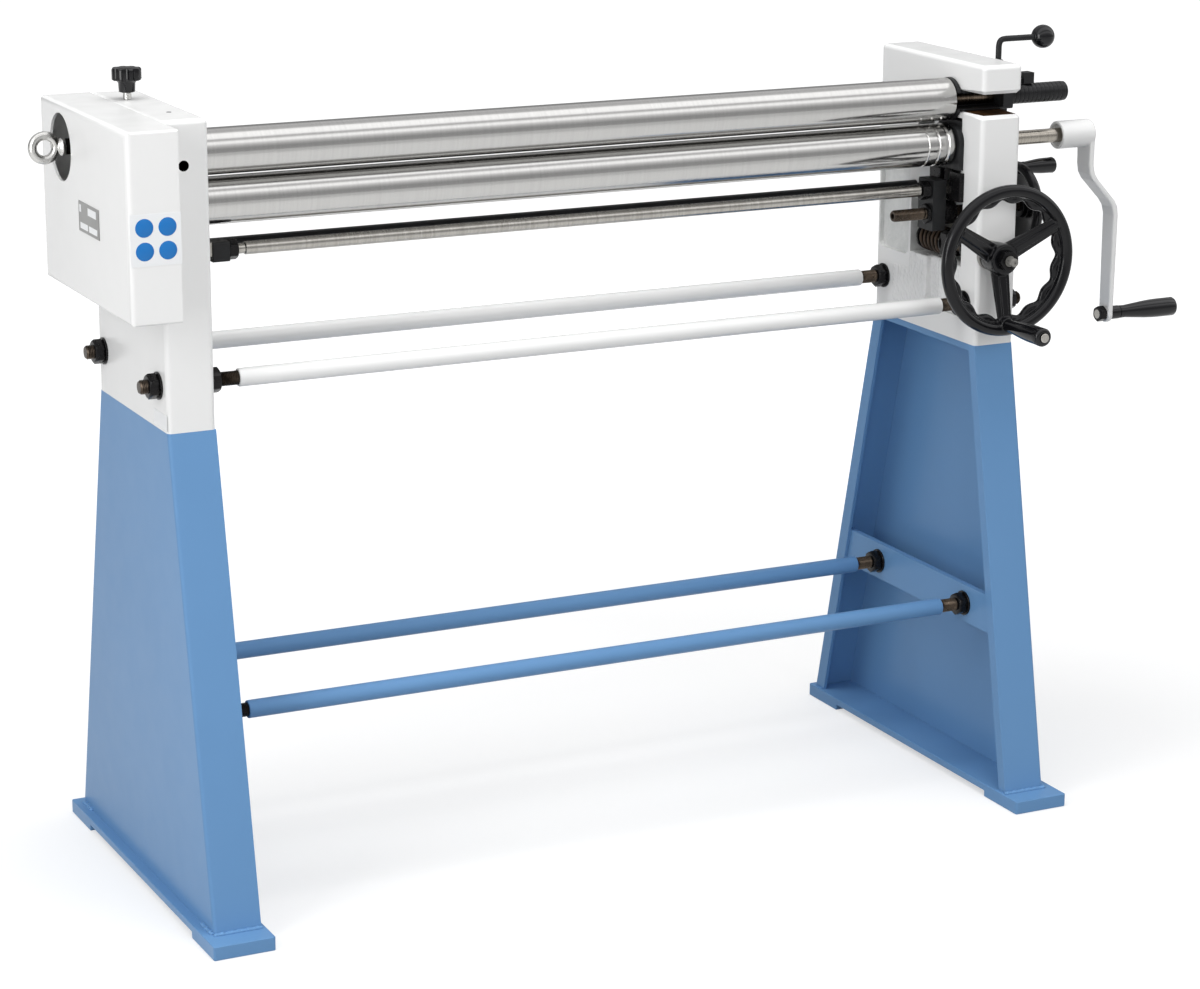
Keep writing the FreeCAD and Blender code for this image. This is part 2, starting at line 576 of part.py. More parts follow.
collar_in, collar_out = bridge_out + 1.0, bridge_out + 21.0
wheel_gap = 51.0             # from the housing to the side handwheel's hub
wheel_face = face_out + wheel_gap
spindle_end = bridge_in - 67.0
spindle = turned([(spindle_end, spindle_radius - 1.5), (spindle_end + 1.5, spindle_radius), (wheel_face + 10, spindle_radius),
                  (wheel_face + 10, 8.0), (wheel_face + 34, 8.0), (wheel_face + 35, 7.0)],
                 V(0, roll_y, spindle_z), X)
spindle = spindle.cut(hexagon(8.0, 12.0, V(spindle_end - 1, roll_y, spindle_z), X))
spindle_collars = [ring(V(collar_in, roll_y, spindle_z), X, 20.5, spindle_radius, collar_out - collar_in),
                   ring(V(cavity_out - 22, roll_y, spindle_z), X, 16.5, spindle_radius, 14.9)]
save("side_spindle", spindle)
save("spindle_collars", *spindle_collars, nut(8.0, 24.0, 10.0, V(wheel_face + 34, roll_y, spindle_z), X))
spindle_bush = turned([(cavity_out - 7, spindle_bush_radius), (face_out, spindle_bush_radius),
                       (face_out, 24.0), (face_out + 8, 24.0)], V(0, roll_y, spindle_z), X)
spindle_bush = spindle_bush.cut(rod(V(face_in + 38, roll_y, spindle_z), X, spindle_radius + running, 60))


def handwheel(radius, rim, hub_radius, hub_wide, bore, spokes, first, spoke_wide, dish):
    """Dished handwheel along +Z: rim round z = 0, hub from z = dish to dish + hub_wide."""
    wheel = Part.makeTorus(radius - rim, rim, V(0, 0, 0), Z)
    hub = turned([(dish, hub_radius - 1.5), (dish + 1.5, hub_radius), (dish + hub_wide - 1.5, hub_radius),
                  (dish + hub_wide, hub_radius - 1.5)], V(0, 0, 0), Z)
    wheel = wheel.fuse(hub)
    near = V(hub_radius * 0.6, 0, dish + hub_wide / 2)
    far = V(radius - rim, 0, 0)
    way = far - near
    for i in range(spokes):
        spoke = Part.makeLoft([section(near, way, spoke_wide * 0.62, 6.0), section(far, way, spoke_wide * 0.5, 4.5)],
                              True, True)
        spoke.rotate(V(0, 0, 0), Z, first + i * 360 / spokes)
        wheel = wheel.fuse(spoke)
    return wheel.cut(rod(V(0, 0, dish - 1), Z, bore, hub_wide + 2))


def section(centre, normal, half_wide, half_thick):
    """Closed oval wire across a spoke."""
    oval = Part.Ellipse(V(0, 0, 0), half_wide, half_thick).toShape()
    turn = FreeCAD.Rotation(V(0, 1, 0), V(0, 0, 1), normal, "ZYX")
    oval.Placement = FreeCAD.Placement(centre, turn)
    return Part.Wire([oval])


def grip(length, small, large, bore):
    """Revolving handle along +Z, waisted near its foot."""
    body = turned([(0, small * 0.8), (2, small), (length * 0.15, small), (length * 0.45, large),
                   (length * 0.85, large), (length - 2, large * 0.86), (length, large * 0.6)], V(0, 0, 0), Z)
    return body.cut(rod(V(0, 0, -1), Z, bore, length + 2))


def grip_pin(length, radius, foot):
    """Fixed pin of a revolving handle along +Z, with its end cap; z = 0 is the handle's foot."""
    cap = turned([(length + 0.15, radius + 1.6), (length + 2.5, radius + 1.6), (length + pin_cap, radius)],
                 V(0, 0, 0), Z)
    return rod(V(0, 0, -foot), Z, radius, length + foot + 1).fuse(cap)


side_radius, side_throw = 75.0, 64.0
side_grip_in, side_grip_long = wheel_face + 16.6, 63.5
side_wheel = handwheel(side_radius, 8.0, 20.0, 24.0, 8.0, 3, -90, 14.0, 2.0)
side_wheel = side_wheel.fuse(rod(V(-side_throw, 0, -8), Z, 10.0, 16.0))
side_wheel = side_wheel.cut(rod(V(-side_throw, 0, -12), Z, 5.0, 24.0))
side_wheel = placed(side_wheel, V(wheel_face + 8, roll_y, spindle_z), X)
save("side_handwheel", side_wheel)
side_grip_z = spindle_z + side_throw
side_pin = placed(grip_pin(side_grip_long, 5.0, 16.0), V(side_grip_in, roll_y, side_grip_z), X)
save("side_grip_pin", side_pin)
save("side_grip", placed(grip(side_grip_long, 10.0, 13.0, 5.0 + running), V(side_grip_in, roll_y, side_grip_z), X))

# ---------------------------------------------------------------- upper roll, swing bearing and gear pair
swing_journal, swivel_journal, drive_journal = 12.0, 13.0, 11.0
swing_out, plate_wide = 34.0, 17.0
block_out = face_out + swing_out
upper_left_end = gear_in + gear_wide + 15.0
drive_pin_x, drive_pin_radius, drive_pin_half = 8 - upper_left_end, 4.0, 22.0
upper_roll = turned([(-upper_left_end, drive_journal - 1), (-upper_left_end + 1, drive_journal),
                     (2 - face_out, drive_journal), (2 - face_out, swivel_journal), (-barrel_end, swivel_journal),
                     (-barrel_end, roll_radius - barrel_bevel), (-barrel_end + barrel_bevel, roll_radius),
                     (barrel_end - barrel_bevel, roll_radius), (barrel_end, roll_radius - barrel_bevel),
                     (barrel_end, swing_journal), (block_out - 16, swing_journal), (block_out - 15, swing_journal - 1)],
                    V(0, roll_y, upper_roll_z), X)
drive_pin = rod(V(drive_pin_x, roll_y, upper_roll_z - drive_pin_half), Z, drive_pin_radius, 2 * drive_pin_half)
upper_roll = upper_roll.cut(drive_pin)
save("upper_roll", upper_roll)
save("drive_pin", drive_pin)

swivel = rod(V(swivel_x, roll_y, swivel_low + seat), Z, swivel_radius, swivel_high - swivel_low - 2 * seat)
swivel = swivel.cut(rod(V(swivel_x - 50, roll_y, upper_roll_z), X, swivel_journal + running, 100))
pin_low = rod(V(swivel_x, roll_y, swivel_low - pin_reach + 0.1), Z, pin_radius - running, pin_reach - 0.1 + seat)
pin_high = rod(V(swivel_x, roll_y, swivel_high - seat), Z, pin_radius - running, pin_reach + 20 + seat)
save("swivel_block", swivel.fuse(pin_low).fuse(pin_high))

swing_half = swing_slot_half - sliding
swing_front, swing_rear = roll_y - 39, roll_y + swing_slot_half
swing_body = block(barrel_end + 8, block_out, swing_front, swing_rear, upper_roll_z - swing_half,
                   upper_roll_z + swing_half)
swing_body = swing_body.makeFillet(4.0, edges_along(swing_body, X))
swing_flange = rod(V(barrel_end + 1, roll_y, upper_roll_z), X, 35.4, 7.0)
swing_body = swing_body.fuse(swing_flange)
swing_body = swing_body.cut(rod(V(barrel_end - 52, roll_y, upper_roll_z), X, swing_journal + running,
                                block_out - 13 - barrel_end + 52))
end_high, end_mid, end_low = upper_roll_z + 17.5, upper_roll_z - 8.5, upper_roll_z - 30.5
end_plate = prism([V(block_out, swing_front, end_high), V(block_out, roll_y + 25, end_high),
                   V(block_out, roll_y + 25, end_mid), V(block_out, roll_y + 13, end_low),
                   V(block_out, roll_y - 19, end_low), V(block_out, swing_front, end_mid)], V(plate_wide, 0, 0))
end_plate = end_plate.makeFillet(3.0, edges_along(end_plate, X))
end_face = block_out + plate_wide
catch = block(end_face + 8, end_face + 28, roll_y - 10, roll_y + 10, end_high, end_high + 18)
catch = catch.fuse(block(end_face - 1, end_face + 28, roll_y - 6, roll_y + 6, end_high, end_high + 8))
catch = catch.fuse(block(block_out, end_face, roll_y - 6, roll_y + 6, end_high - 1, end_high + 8))
save("swing_bearing", swing_body)
save("swing_end_plate", end_plate.fuse(catch))

swing_grip_long, swing_grip_radius = 104.0, 16.5
swing_grip_in, swing_grip_out = end_face, end_face + swing_grip_long
ribs = [(swing_grip_in, 13.0), (swing_grip_in + 4, 14.0)]
rib_count, rib_step = 11, 8.0
for i in range(rib_count):
    start = swing_grip_in + 6 + i * rib_step
    ribs += [(start, swing_grip_radius - 2), (start + 1, swing_grip_radius), (start + 5, swing_grip_radius),
             (start + 6, swing_grip_radius - 2)]
ribs += [(swing_grip_out - 2, swing_grip_radius - 2), (swing_grip_out, swing_grip_radius - 5)]
save("swing_grip", turned(ribs, V(0, roll_y, upper_roll_z), X))

gear_ring_radius, gear_ring_bore = 25.0, 20.0
upper_gear = gear_blank(270 + 9, V(gear_left, roll_y, upper_roll_z), gear_ring_radius + running)
drum_radius = root_radius - 0.2      # below the reach of the lower gear's teeth
drum = ring(V(gear_left - 16, roll_y, upper_roll_z), X, drum_radius, 23.0, 16.1)
drum = drum.cut(block(gear_left - 17, gear_left, roll_y - 13, roll_y + 13, upper_roll_z - 40, upper_roll_z + 40))
drum = drum.cut(rod(V(gear_left - 0.6, roll_y, upper_roll_z), X, gear_ring_radius + 1, 2.0))
upper_gear = upper_gear.fuse(drum)
save("upper_gear", upper_gear)
gear_ring = turned([(-face_out - 4, 42.0), (-face_out, 42.0)], V(0, roll_y, upper_roll_z), X)
gear_ring = gear_ring.fuse(rod(V(gear_left + 0.2, roll_y, upper_roll_z), X, gear_ring_radius, 22.0))
gear_ring = gear_ring.cut(rod(V(gear_left - 38, roll_y, upper_roll_z), X, gear_ring_bore, 90))
save("gear_ring", gear_ring)
gear_nut = nut(shaft_radius, 36.0, 10.0, V(gear_left - 10, roll_y, lower_roll_z), X)

# ---------------------------------------------------------------- gear cover and the two fittings beside it
cover_wall, cover_hole = 4.0, 51.0
cover = block(-cover_out, -face_out, cover_front, cover_rear, cover_low, housing_top)
cover = cover.makeFillet(9.0, edges_along(cover, Z, lambda c: c.x < -cover_out + 1) +
                         edges_along(cover, Y, lambda c: c.x < -cover_out + 1))
hollow = block(-cover_out + cover_wall, -face_out + 1, cover_front + cover_wall, cover_rear - cover_wall,
               cover_low + cover_wall, housing_top - cover_wall)
cover = cover.cut(hollow)
cover = cover.fuse(block(-face_out - cover_wall, -face_out, cover_front + 1, -half_depth + 10,
                         cover_low + 1, housing_top - 1))
for y, z in tab_places:
    reach = cover_rear - 1 if y > 0 else -half_depth - 1
    cover = cover.fuse(block(-face_out - cover_wall, -face_out, min(y - tab_half, reach) if y < 0 else y - tab_half,
                             max(y + tab_half, reach) if y > 0 else y + tab_half, z - tab_half, z + tab_half))
    cover = cover.cut(rod(V(-face_out - 10, y, z), X, 4.0, 11))
cover = cover.cut(rod(V(-cover_out - 1, pull_y, pull_z), X, cover_hole, 10))
save("gear_cover", cover)

disc_teeth, disc_radius = 24, 41.0
pull_in = face_in + 18.0
pull_travel = 28.0
disc_left, disc_thick = -face_out - 35.0, 14.0
disc_outline = []
for tooth in range(disc_teeth):
    for share, radius in ((0.0, disc_radius - 7), (0.28, disc_radius), (0.5, disc_radius), (0.78, disc_radius - 7)):
        turn = 2 * pi * (tooth + share) / disc_teeth
        disc_outline.append(V(disc_left, pull_y + radius * cos(turn), pull_z + radius * sin(turn)))
disc = prism(disc_outline, V(disc_thick, 0, 0))
pull_shaft = rod(V(-pull_out, pull_y, pull_z), X, pull_radius, pull_out - pull_in)
save("pull_shaft", pull_shaft.fuse(disc))
eye = Part.makeTorus(eye_mean, eye_section, V(eye_centre, pull_y, pull_z), Y)
neck = turned([(-pull_out - 10, 6.0), (-pull_out - 3, 13.5), (-pull_out + 3, 13.5), (-pull_out + 3, 12.0)],
              V(0, pull_y, pull_z), X)
neck = neck.cut(rod(V(-pull_out, pull_y, pull_z), X, pull_radius, 20))
save("eye_bolt", eye.fuse(neck))

stud_tip = pull_z + pull_radius + seat
knob = rod(V(knob_x, pull_y, stud_tip), Z, knob_stud, housing_top + 12 - stud_tip)
knob = knob.fuse(turned([(housing_top + 11, 13), (housing_top + 29, 13)], V(knob_x, pull_y, 0), Z))
head = rod(V(knob_x, pull_y, housing_top + 29), Z, 17.0, 18.5)
for i in range(8):
    turn = radians(22.5 + 45 * i)
    head = head.fuse(rod(V(knob_x + 16.5 * cos(turn), pull_y + 16.5 * sin(turn), housing_top + 29), Z, 6.5, 18.5))
save("star_knob", head.removeSplitter(), knob)

# ---------------------------------------------------------------- crank
crank_throw = 316.0
arm_top_wide, arm_low_wide = 40.0, 30.0
bend_down, bend_drop = 67.1, 62.0        # start of the slanting part below the shaft, and its height
bend_high, bend_low = lower_roll_z - bend_down, lower_roll_z - bend_down - bend_drop
arm_end = lower_roll_z - crank_throw - 15
crank_hub = turned([(crank_hub_in, 22.0), (crank_hub_in + 1.5, 23.5), (crank_hub_out - 1.5, 23.5),
                    (crank_hub_out, 22.0)], V(0, roll_y, lower_roll_z), X)
half_arm = arm_thick / 2
lean = half_arm * tan(atan2(arm_step, bend_drop) / 2)    # keeps the slanting part as thick as the rest
path = [V(arm_inner - half_arm, 0, lower_roll_z), V(arm_inner - half_arm, 0, bend_high - lean),
        V(arm_outer - half_arm, 0, bend_low - lean), V(arm_outer - half_arm, 0, arm_end),
        V(arm_outer + half_arm, 0, arm_end), V(arm_outer + half_arm, 0, bend_low + lean),
        V(arm_inner + half_arm, 0, bend_high + lean), V(arm_inner + half_arm, 0, lower_roll_z)]
arm = prism(path, V(0, arm_top_wide, 0))
arm.translate(V(0, roll_y - arm_top_wide / 2, 0))
aside = arm_inner - 33
taper = prism([V(aside, roll_y - arm_top_wide / 2, lower_roll_z), V(aside, roll_y + arm_top_wide / 2, lower_roll_z),
               V(aside, roll_y + arm_low_wide / 2, arm_end + 15), V(aside, roll_y + arm_low_wide / 3, arm_end),
               V(aside, roll_y - arm_low_wide / 3, arm_end), V(aside, roll_y - arm_low_wide / 2, arm_end + 15)],
              V(arm_step + 64, 0, 0))
arm = arm.common(taper)
crank_bore = rod(V(crank_hub_in - 1, roll_y, lower_roll_z), X, shaft_radius, crank_hub_long + 2)
crank = crank_hub.fuse(arm).cut(crank_bore).cut(crank_key)
crank_grip_z = lower_roll_z - crank_throw
crank = crank.cut(rod(V(arm_outer - 20, roll_y, crank_grip_z), X, 8.0, 40))
save("crank_arm", crank)
crank_pin = placed(grip_pin(crank_grip_long, 8.0, crank_grip_in - arm_outer + 29), V(crank_grip_in, roll_y, crank_grip_z), X)
crank_collar = ring(V(arm_outer + half_arm, roll_y, crank_grip_z), X, 11.5, 8.0, crank_collar_long)
save("crank_grip_pin", crank_pin, crank_collar)
save("shaft_nuts", nut(8.0, 24.0, 13.0, V(arm_outer - half_arm - 13, roll_y, crank_grip_z), X), gear_nut)
save("crank_grip", placed(grip(crank_grip_long, 11.0, 16.0, 8.0 + running), V(crank_grip_in, roll_y, crank_grip_z), X))

# ---------------------------------------------------------------- rear roll
rear_in, rear_out = face_in + 0.5, cavity_in - 0.5
rear_journal = 12.0
rear_roll = turned([(-rear_out + 4, rear_journal - 1), (-rear_out + 5, rear_journal), (-barrel_end, rear_journal),
                    (-barrel_end, roll_radius - barrel_bevel), (-barrel_end + barrel_bevel, roll_radius),
                    (barrel_end - barrel_bevel, roll_radius), (barrel_end, roll_radius - barrel_bevel),
                    (barrel_end, rear_journal), (rear_out - 5, rear_journal), (rear_out - 4, rear_journal - 1)],
                   rear_axis, X)
save("rear_roll", rear_roll)
rear_bearing = rear_block(rear_half_wide, rear_half_long, rear_half_long, rear_in, rear_out)
rear_bearing = rear_bearing.cut(rod(V(rear_in - 1, rear_roll_y, rear_roll_z), X, rear_journal + running, 41))
slot_pin_radius = 7.0
slot_pin = rod(V(rear_out, rear_roll_y, rear_roll_z), X, slot_pin_radius, plate_out - 0.5 - rear_out)
rear_bearing = rear_bearing.fuse(slot_pin)
save("rear_bearings", rear_bearing, flip(rear_bearing))

fork_reach = 70.0
fork_pin_y, fork_pin_z = rock_y + plate_travel / 2, rock_z - fork_reach
fork_pin_radius = 6.0
slot_end = V(0, rear_roll_y - rear_up * sin(tilt) + plate_travel, rear_roll_z + rear_up * cos(tilt))


def slotted(solid, start, end, radius, x0, x1):
    """Cut a round-ended slot between two axes."""
    solid = solid.cut(rod(V(x0, start.y, start.z), X, radius, x1 - x0))
    solid = solid.cut(rod(V(x0, end.y, end.z), X, radius, x1 - x0))
    way = (end - start).normalize()
    side = V(0, -way.z, way.y) * radius
    corners = [start + side, end + side, end - side, start - side]
    for corner in corners:
        corner.x = x0
    return solid.cut(prism(corners, V(x1 - x0, 0, 0)))


wedge_plate = block(plate_in, plate_out, plate_front, plate_rear, plate_low, plate_bar_high)
wedge_plate = wedge_plate.fuse(block(plate_in, plate_out, plate_post_front, plate_post_rear,
                                     plate_bar_high - 1, plate_top - 66))
wedge_plate = wedge_plate.fuse(prism([V(plate_in, plate_post_front, plate_top - 74),
                                      V(plate_in, plate_post_rear, plate_top - 74),
                                      V(plate_in, plate_post_rear, plate_top),
                                      V(plate_in, plate_post_front + 15, plate_top),
                                      V(plate_in, plate_post_front, plate_top - 40)], V(plate_thick, 0, 0)))
wedge_plate = slotted(wedge_plate, V(0, rear_roll_y, rear_roll_z), slot_end, slot_pin_radius + 0.25,
                      plate_in - 1, plate_out + 1)
notch = rock_radius + 1
wedge_plate = wedge_plate.cut(block(plate_in - 1, plate_out + 1, rock_y - 0.2, rock_y + 60, rock_z - notch, rock_z + notch))
wedge_plate = wedge_plate.cut(rod(V(plate_in - 1, rock_y - 0.2, rock_z), X, notch, 20))
wedge_plate = wedge_plate.fuse(rod(V(plate_out, fork_pin_y, fork_pin_z), X, fork_pin_radius, 10.5))
save("wedge_plate_right", wedge_plate)
save("wedge_plate_left", flip(wedge_plate))

nut_front, nut_rear = plate_front + 2, plate_front + 20.5
travelling_nut = block(screw_x - 20, plate_in, nut_front, nut_rear, screw_z - 20, screw_z + 20)
travelling_nut = travelling_nut.makeChamfer(2.0, edges_along(travelling_nut, Y))
travelling_nut = travelling_nut.cut(rod(V(screw_x, nut_front - 1, screw_z), Y, screw_radius + running, 40))
save("travelling_nut", travelling_nut)

rock_shaft = turned([(-cavity_out + 1.5, rock_radius - 1), (-cavity_out + 2.5, rock_radius),
                     (cavity_out - 2.5, rock_radius), (cavity_out - 1.5, rock_radius - 1)], V(0, rock_y, rock_z), X)
save("rock_shaft", rock_shaft)
lever_in, lever_out = plate_out + 1, plate_out + 10
fork_turn = atan2(plate_travel / 2, fork_reach)
fork_gap = fork_pin_radius + 0.6
fork = rod(V(lever_in, 0, 0), X, 19.0, lever_out - lever_in)
fork = fork.fuse(block(lever_in, lever_out, -14, 14, -fork_reach - 10, 0))
fork = fork.cut(rod(V(lever_in - 1, 0, 0), X, rock_radius, 20))
fork = fork.cut(block(lever_in - 1, lever_out + 1, -fork_gap, fork_gap, -fork_reach - 11, -fork_reach + 9))
fork.rotate(V(0, 0, 0), X, degrees(fork_turn))
fork.translate(V(0, rock_y, rock_z))
save("rock_levers", fork, flip(fork))

# ---------------------------------------------------------------- front handwheel, screw and spring
front_radius, front_stand = 125.0, 55.0      # the rim stands this far in front of the housing
front_rim_y = -half_depth - front_stand
screw_front = front_rim_y - 23.0
screw_collar_front, screw_collar_rear = pocket_front + seat, pocket_front + 13
front_screw = turned([(screw_front, 9.0), (screw_front + 1, screw_radius), (pocket_rear - 1.5, screw_radius),
                      (pocket_rear - 1.5, screw_tail), (pocket_rear + 13, screw_tail)], V(screw_x, 0, screw_z), Y)
save("front_screw", front_screw)
spring_long = 65.0
spring_front = nut_rear + 3.5
spring_rear = spring_front + spring_long
seat_washers = [ring(V(screw_x, screw_collar_front, screw_z), Y, 18.0, screw_radius, screw_collar_rear - screw_collar_front),
                ring(V(screw_x, nut_rear + 0.5, screw_z), Y, 22.5, screw_radius, spring_front - nut_rear - 0.5),
                ring(V(screw_x, spring_rear, screw_z), Y, 22.5, screw_radius, 4.0)]
seat_washers.append(nut(screw_radius, 30.0, 12.0, V(screw_x, front_rim_y + 4, screw_z), -Y))
save("screw_collars", *seat_washers)
coil_radius, wire_radius, coil_turns = 20.5, 3.0, 4.0
coil_pitch = (spring_rear - spring_front - 2 * wire_radius) / coil_turns
helix = Part.makeHelix(coil_pitch, coil_pitch * coil_turns, coil_radius)
wire_section = Part.Wire([Part.Circle(V(coil_radius, 0, 0), Y, wire_radius).toShape()])
coil = Part.Wire(helix.Edges).makePipeShell([wire_section], True, True)
coil = placed(coil, V(screw_x, spring_front + wire_radius, screw_z), Y)
save("screw_spring", coil)
screw_bush = turned([(-half_depth - 8, 24.0), (-half_depth, 24.0), (-half_depth, screw_bush_radius),
                     (pocket_front, screw_bush_radius)], V(screw_x, 0, screw_z), Y)
screw_bush = screw_bush.cut(rod(V(screw_x, -half_depth - 40, screw_z), Y, screw_radius + running, 120))
save("screw_bushes", screw_bush, spindle_bush)
front_wheel = handwheel(front_radius, 11.0, 26.0, 40.0, screw_radius, 3, 30, 22.0, -44.0)
front_throw = 106.0
front_wheel = front_wheel.fuse(rod(V(0, -front_throw, -11), Z, 13.0, 22.0))
front_wheel = front_wheel.cut(rod(V(0, -front_throw, -12), Z, 6.0, 30.0))
save("front_handwheel", placed(front_wheel, V(screw_x, front_rim_y, screw_z), -Y))
front_grip_y, front_grip_long = front_rim_y - 12.0, 103.0
front_grip_z = screw_z - front_throw
save("front_grip_pin", placed(grip_pin(front_grip_long, 6.0, 22.0), V(screw_x, front_grip_y, front_grip_z), -Y))
save("front_grip", placed(grip(front_grip_long, 11.0, 15.0, 6.0 + running), V(screw_x, front_grip_y, front_grip_z), -Y))

# ---------------------------------------------------------------- ball lever
lever_x, lever_y = face_out + 11, roll_y - 4
lever_radius, lever_rise, ball_out, ball_radius = 5.0, 29.0, 86.0, 19.5
bracket_top, bracket_thick = housing_top - 10, 16.0
lever_low, lever_bend, ball_x = end_high + 0.4, housing_top + lever_rise, lever_x + ball_out
elbow_radius = 12.0
bracket = block(face_out, lever_x + 13, lever_y - 15, lever_y + 15, bracket_top - bracket_thick, bracket_top)
bracket = bracket.makeFillet(8.0, edges_along(bracket, Z, lambda c: c.x > face_out + 5))
bracket = bracket.cut(rod(V(lever_x, lever_y, bracket_top - bracket_thick - 7), Z, lever_radius + running,
                          bracket_thick + 14))
save("lever_bracket", bracket)
elbow_x, elbow_z = lever_x + elbow_radius, lever_bend - elbow_radius
lever = rod(V(lever_x, lever_y, lever_low), Z, lever_radius, elbow_z - lever_low)
elbow = Part.makeTorus(elbow_radius, lever_radius, V(elbow_x, lever_y, elbow_z), Y)
elbow = elbow.common(block(lever_x - 2 * lever_radius, elbow_x, lever_y - 9, lever_y + 9,
                           elbow_z, lever_bend + 2 * lever_radius))
lever = lever.fuse(elbow).fuse(rod(V(elbow_x, lever_y, lever_bend), X, lever_radius, ball_x - elbow_x - 8))
lever_stop = ring(V(lever_x, lever_y, bracket_top + 0.1), Z, lever_radius + 3, lever_radius, 5.0)
save("lever_rod", lever.fuse(lever_stop))
ball = Part.makeSphere(ball_radius, V(ball_x, lever_y, lever_bend))
ball = ball.cut(rod(V(ball_x - 30, lever_y, lever_bend), X, lever_radius, 22))
save("lever_ball", ball)
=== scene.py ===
import bpy
import json
from math import cos, hypot, pi, radians, sin
from mathutils import Matrix, Vector


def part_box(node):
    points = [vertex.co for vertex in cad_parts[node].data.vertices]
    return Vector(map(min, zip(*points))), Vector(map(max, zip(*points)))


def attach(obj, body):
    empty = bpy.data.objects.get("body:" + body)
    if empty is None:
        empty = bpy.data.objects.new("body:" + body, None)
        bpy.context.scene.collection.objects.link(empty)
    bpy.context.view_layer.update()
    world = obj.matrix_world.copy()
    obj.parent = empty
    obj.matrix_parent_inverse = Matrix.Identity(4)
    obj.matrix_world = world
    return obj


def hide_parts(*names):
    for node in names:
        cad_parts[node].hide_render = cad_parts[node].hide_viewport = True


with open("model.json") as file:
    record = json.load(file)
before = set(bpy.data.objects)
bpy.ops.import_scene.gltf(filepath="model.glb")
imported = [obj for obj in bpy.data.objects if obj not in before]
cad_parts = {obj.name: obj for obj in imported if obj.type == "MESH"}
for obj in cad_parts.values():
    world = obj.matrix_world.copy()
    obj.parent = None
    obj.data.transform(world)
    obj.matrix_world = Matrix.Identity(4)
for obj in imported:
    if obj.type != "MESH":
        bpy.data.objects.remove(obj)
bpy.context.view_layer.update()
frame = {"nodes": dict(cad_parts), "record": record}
nodes = frame["nodes"]
bodyOf = {node: body for body, members in frame["record"]["behaviour"]["bodies"].items() for node in members}
slotOf = {part["node"]: part["material_slot"] for part in frame["record"]["subparts"]}

# sizes and places are millimetres from the point on the floor midway between the housings
leftLow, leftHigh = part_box("left_housing")
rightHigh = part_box("right_housing")[1]
midX = (leftLow.x + rightHigh.x) / 2
midY = (leftLow.y + leftHigh.y) / 2
mm = 0.001


def at(x, y, z):
    # from those millimetres to the frame's metres
    return Vector((midX + x * mm, midY + y * mm, z * mm))


def placeOf(point):
    # and back
    return (point - at(0, 0, 0)) / mm


def pick(*objects):
    bpy.ops.object.select_all(action="DESELECT")
    for obj in objects:
        obj.select_set(True)
    bpy.context.view_layer.objects.active = objects[0]


def settle(obj):
    # the object's place, turn and scale go into its mesh
    pick(obj)
    bpy.ops.object.transform_apply(location=True, rotation=True, scale=True)
    return obj


def link(name, data):
    obj = bpy.data.objects.new(name, data)
    bpy.context.scene.collection.objects.link(obj)
    return obj


# nodes of the materials and the world

def addNode(net, wire, kind, *sources, **settings):
    # a node with its settings, its first inputs wired to the sources
    node = net.new("ShaderNode" + kind)
    for key, value in settings.items():
        setattr(node, key, value)
    for place, source in enumerate(sources):
        wire.new(source, node.inputs[place])
    return node


def setSockets(node, values):
    for socket, value in values.items():
        node.inputs[socket].default_value = value


def addRamp(net, wire, source, stops):
    ramp = addNode(net, wire, "ValToRGB", source)
    elements = ramp.color_ramp.elements
    while len(elements) < len(stops):
        elements.new(0.5)
    for element, (place, colour) in zip(elements, stops):
        element.position = place
        element.color = (*colour, 1)
    return ramp.outputs[0]


def newMaterial(name):
    mat = bpy.data.materials.new(name)
    mat.use_nodes = True
    tree = mat.node_tree
    return mat, tree.nodes, tree.links, tree.nodes["Principled BSDF"]


# camera: place, turns in degrees, lens and sensor in millimetres, farthest point in metres

cameraView = {"place": (-2245.3, -4631.6, 1947.0), "yaw": 26.3805, "pitch": -15.2496, "roll": 0.2942,
              "lens": 98.413, "sensor": 36, "farthest": 60}


def makeCamera():
    yaw, pitch, roll = (radians(cameraView[name]) for name in ("yaw", "pitch", "roll"))
    forward = Vector((sin(yaw) * cos(pitch), cos(yaw) * cos(pitch), sin(pitch)))
    right = Vector((cos(yaw), -sin(yaw), 0))
    up = right.cross(forward)
    right, up = right * cos(roll) + up * sin(roll), up * cos(roll) - right * sin(roll)
    data = bpy.data.cameras.new("camera")
    data.lens = cameraView["lens"]
    data.sensor_width = cameraView["sensor"]
    data.sensor_fit = "HORIZONTAL"
    data.clip_end = cameraView["farthest"]
    camera = link("camera", data)
    turn = Matrix((right, up, -forward)).transposed().to_4x4()
    camera.matrix_world = Matrix.Translation(at(*cameraView["place"])) @ turn
    bpy.context.scene.camera = camera


# studio: soft lamps in metres and watts, and the brightness of the sky, the paper floor and the strips

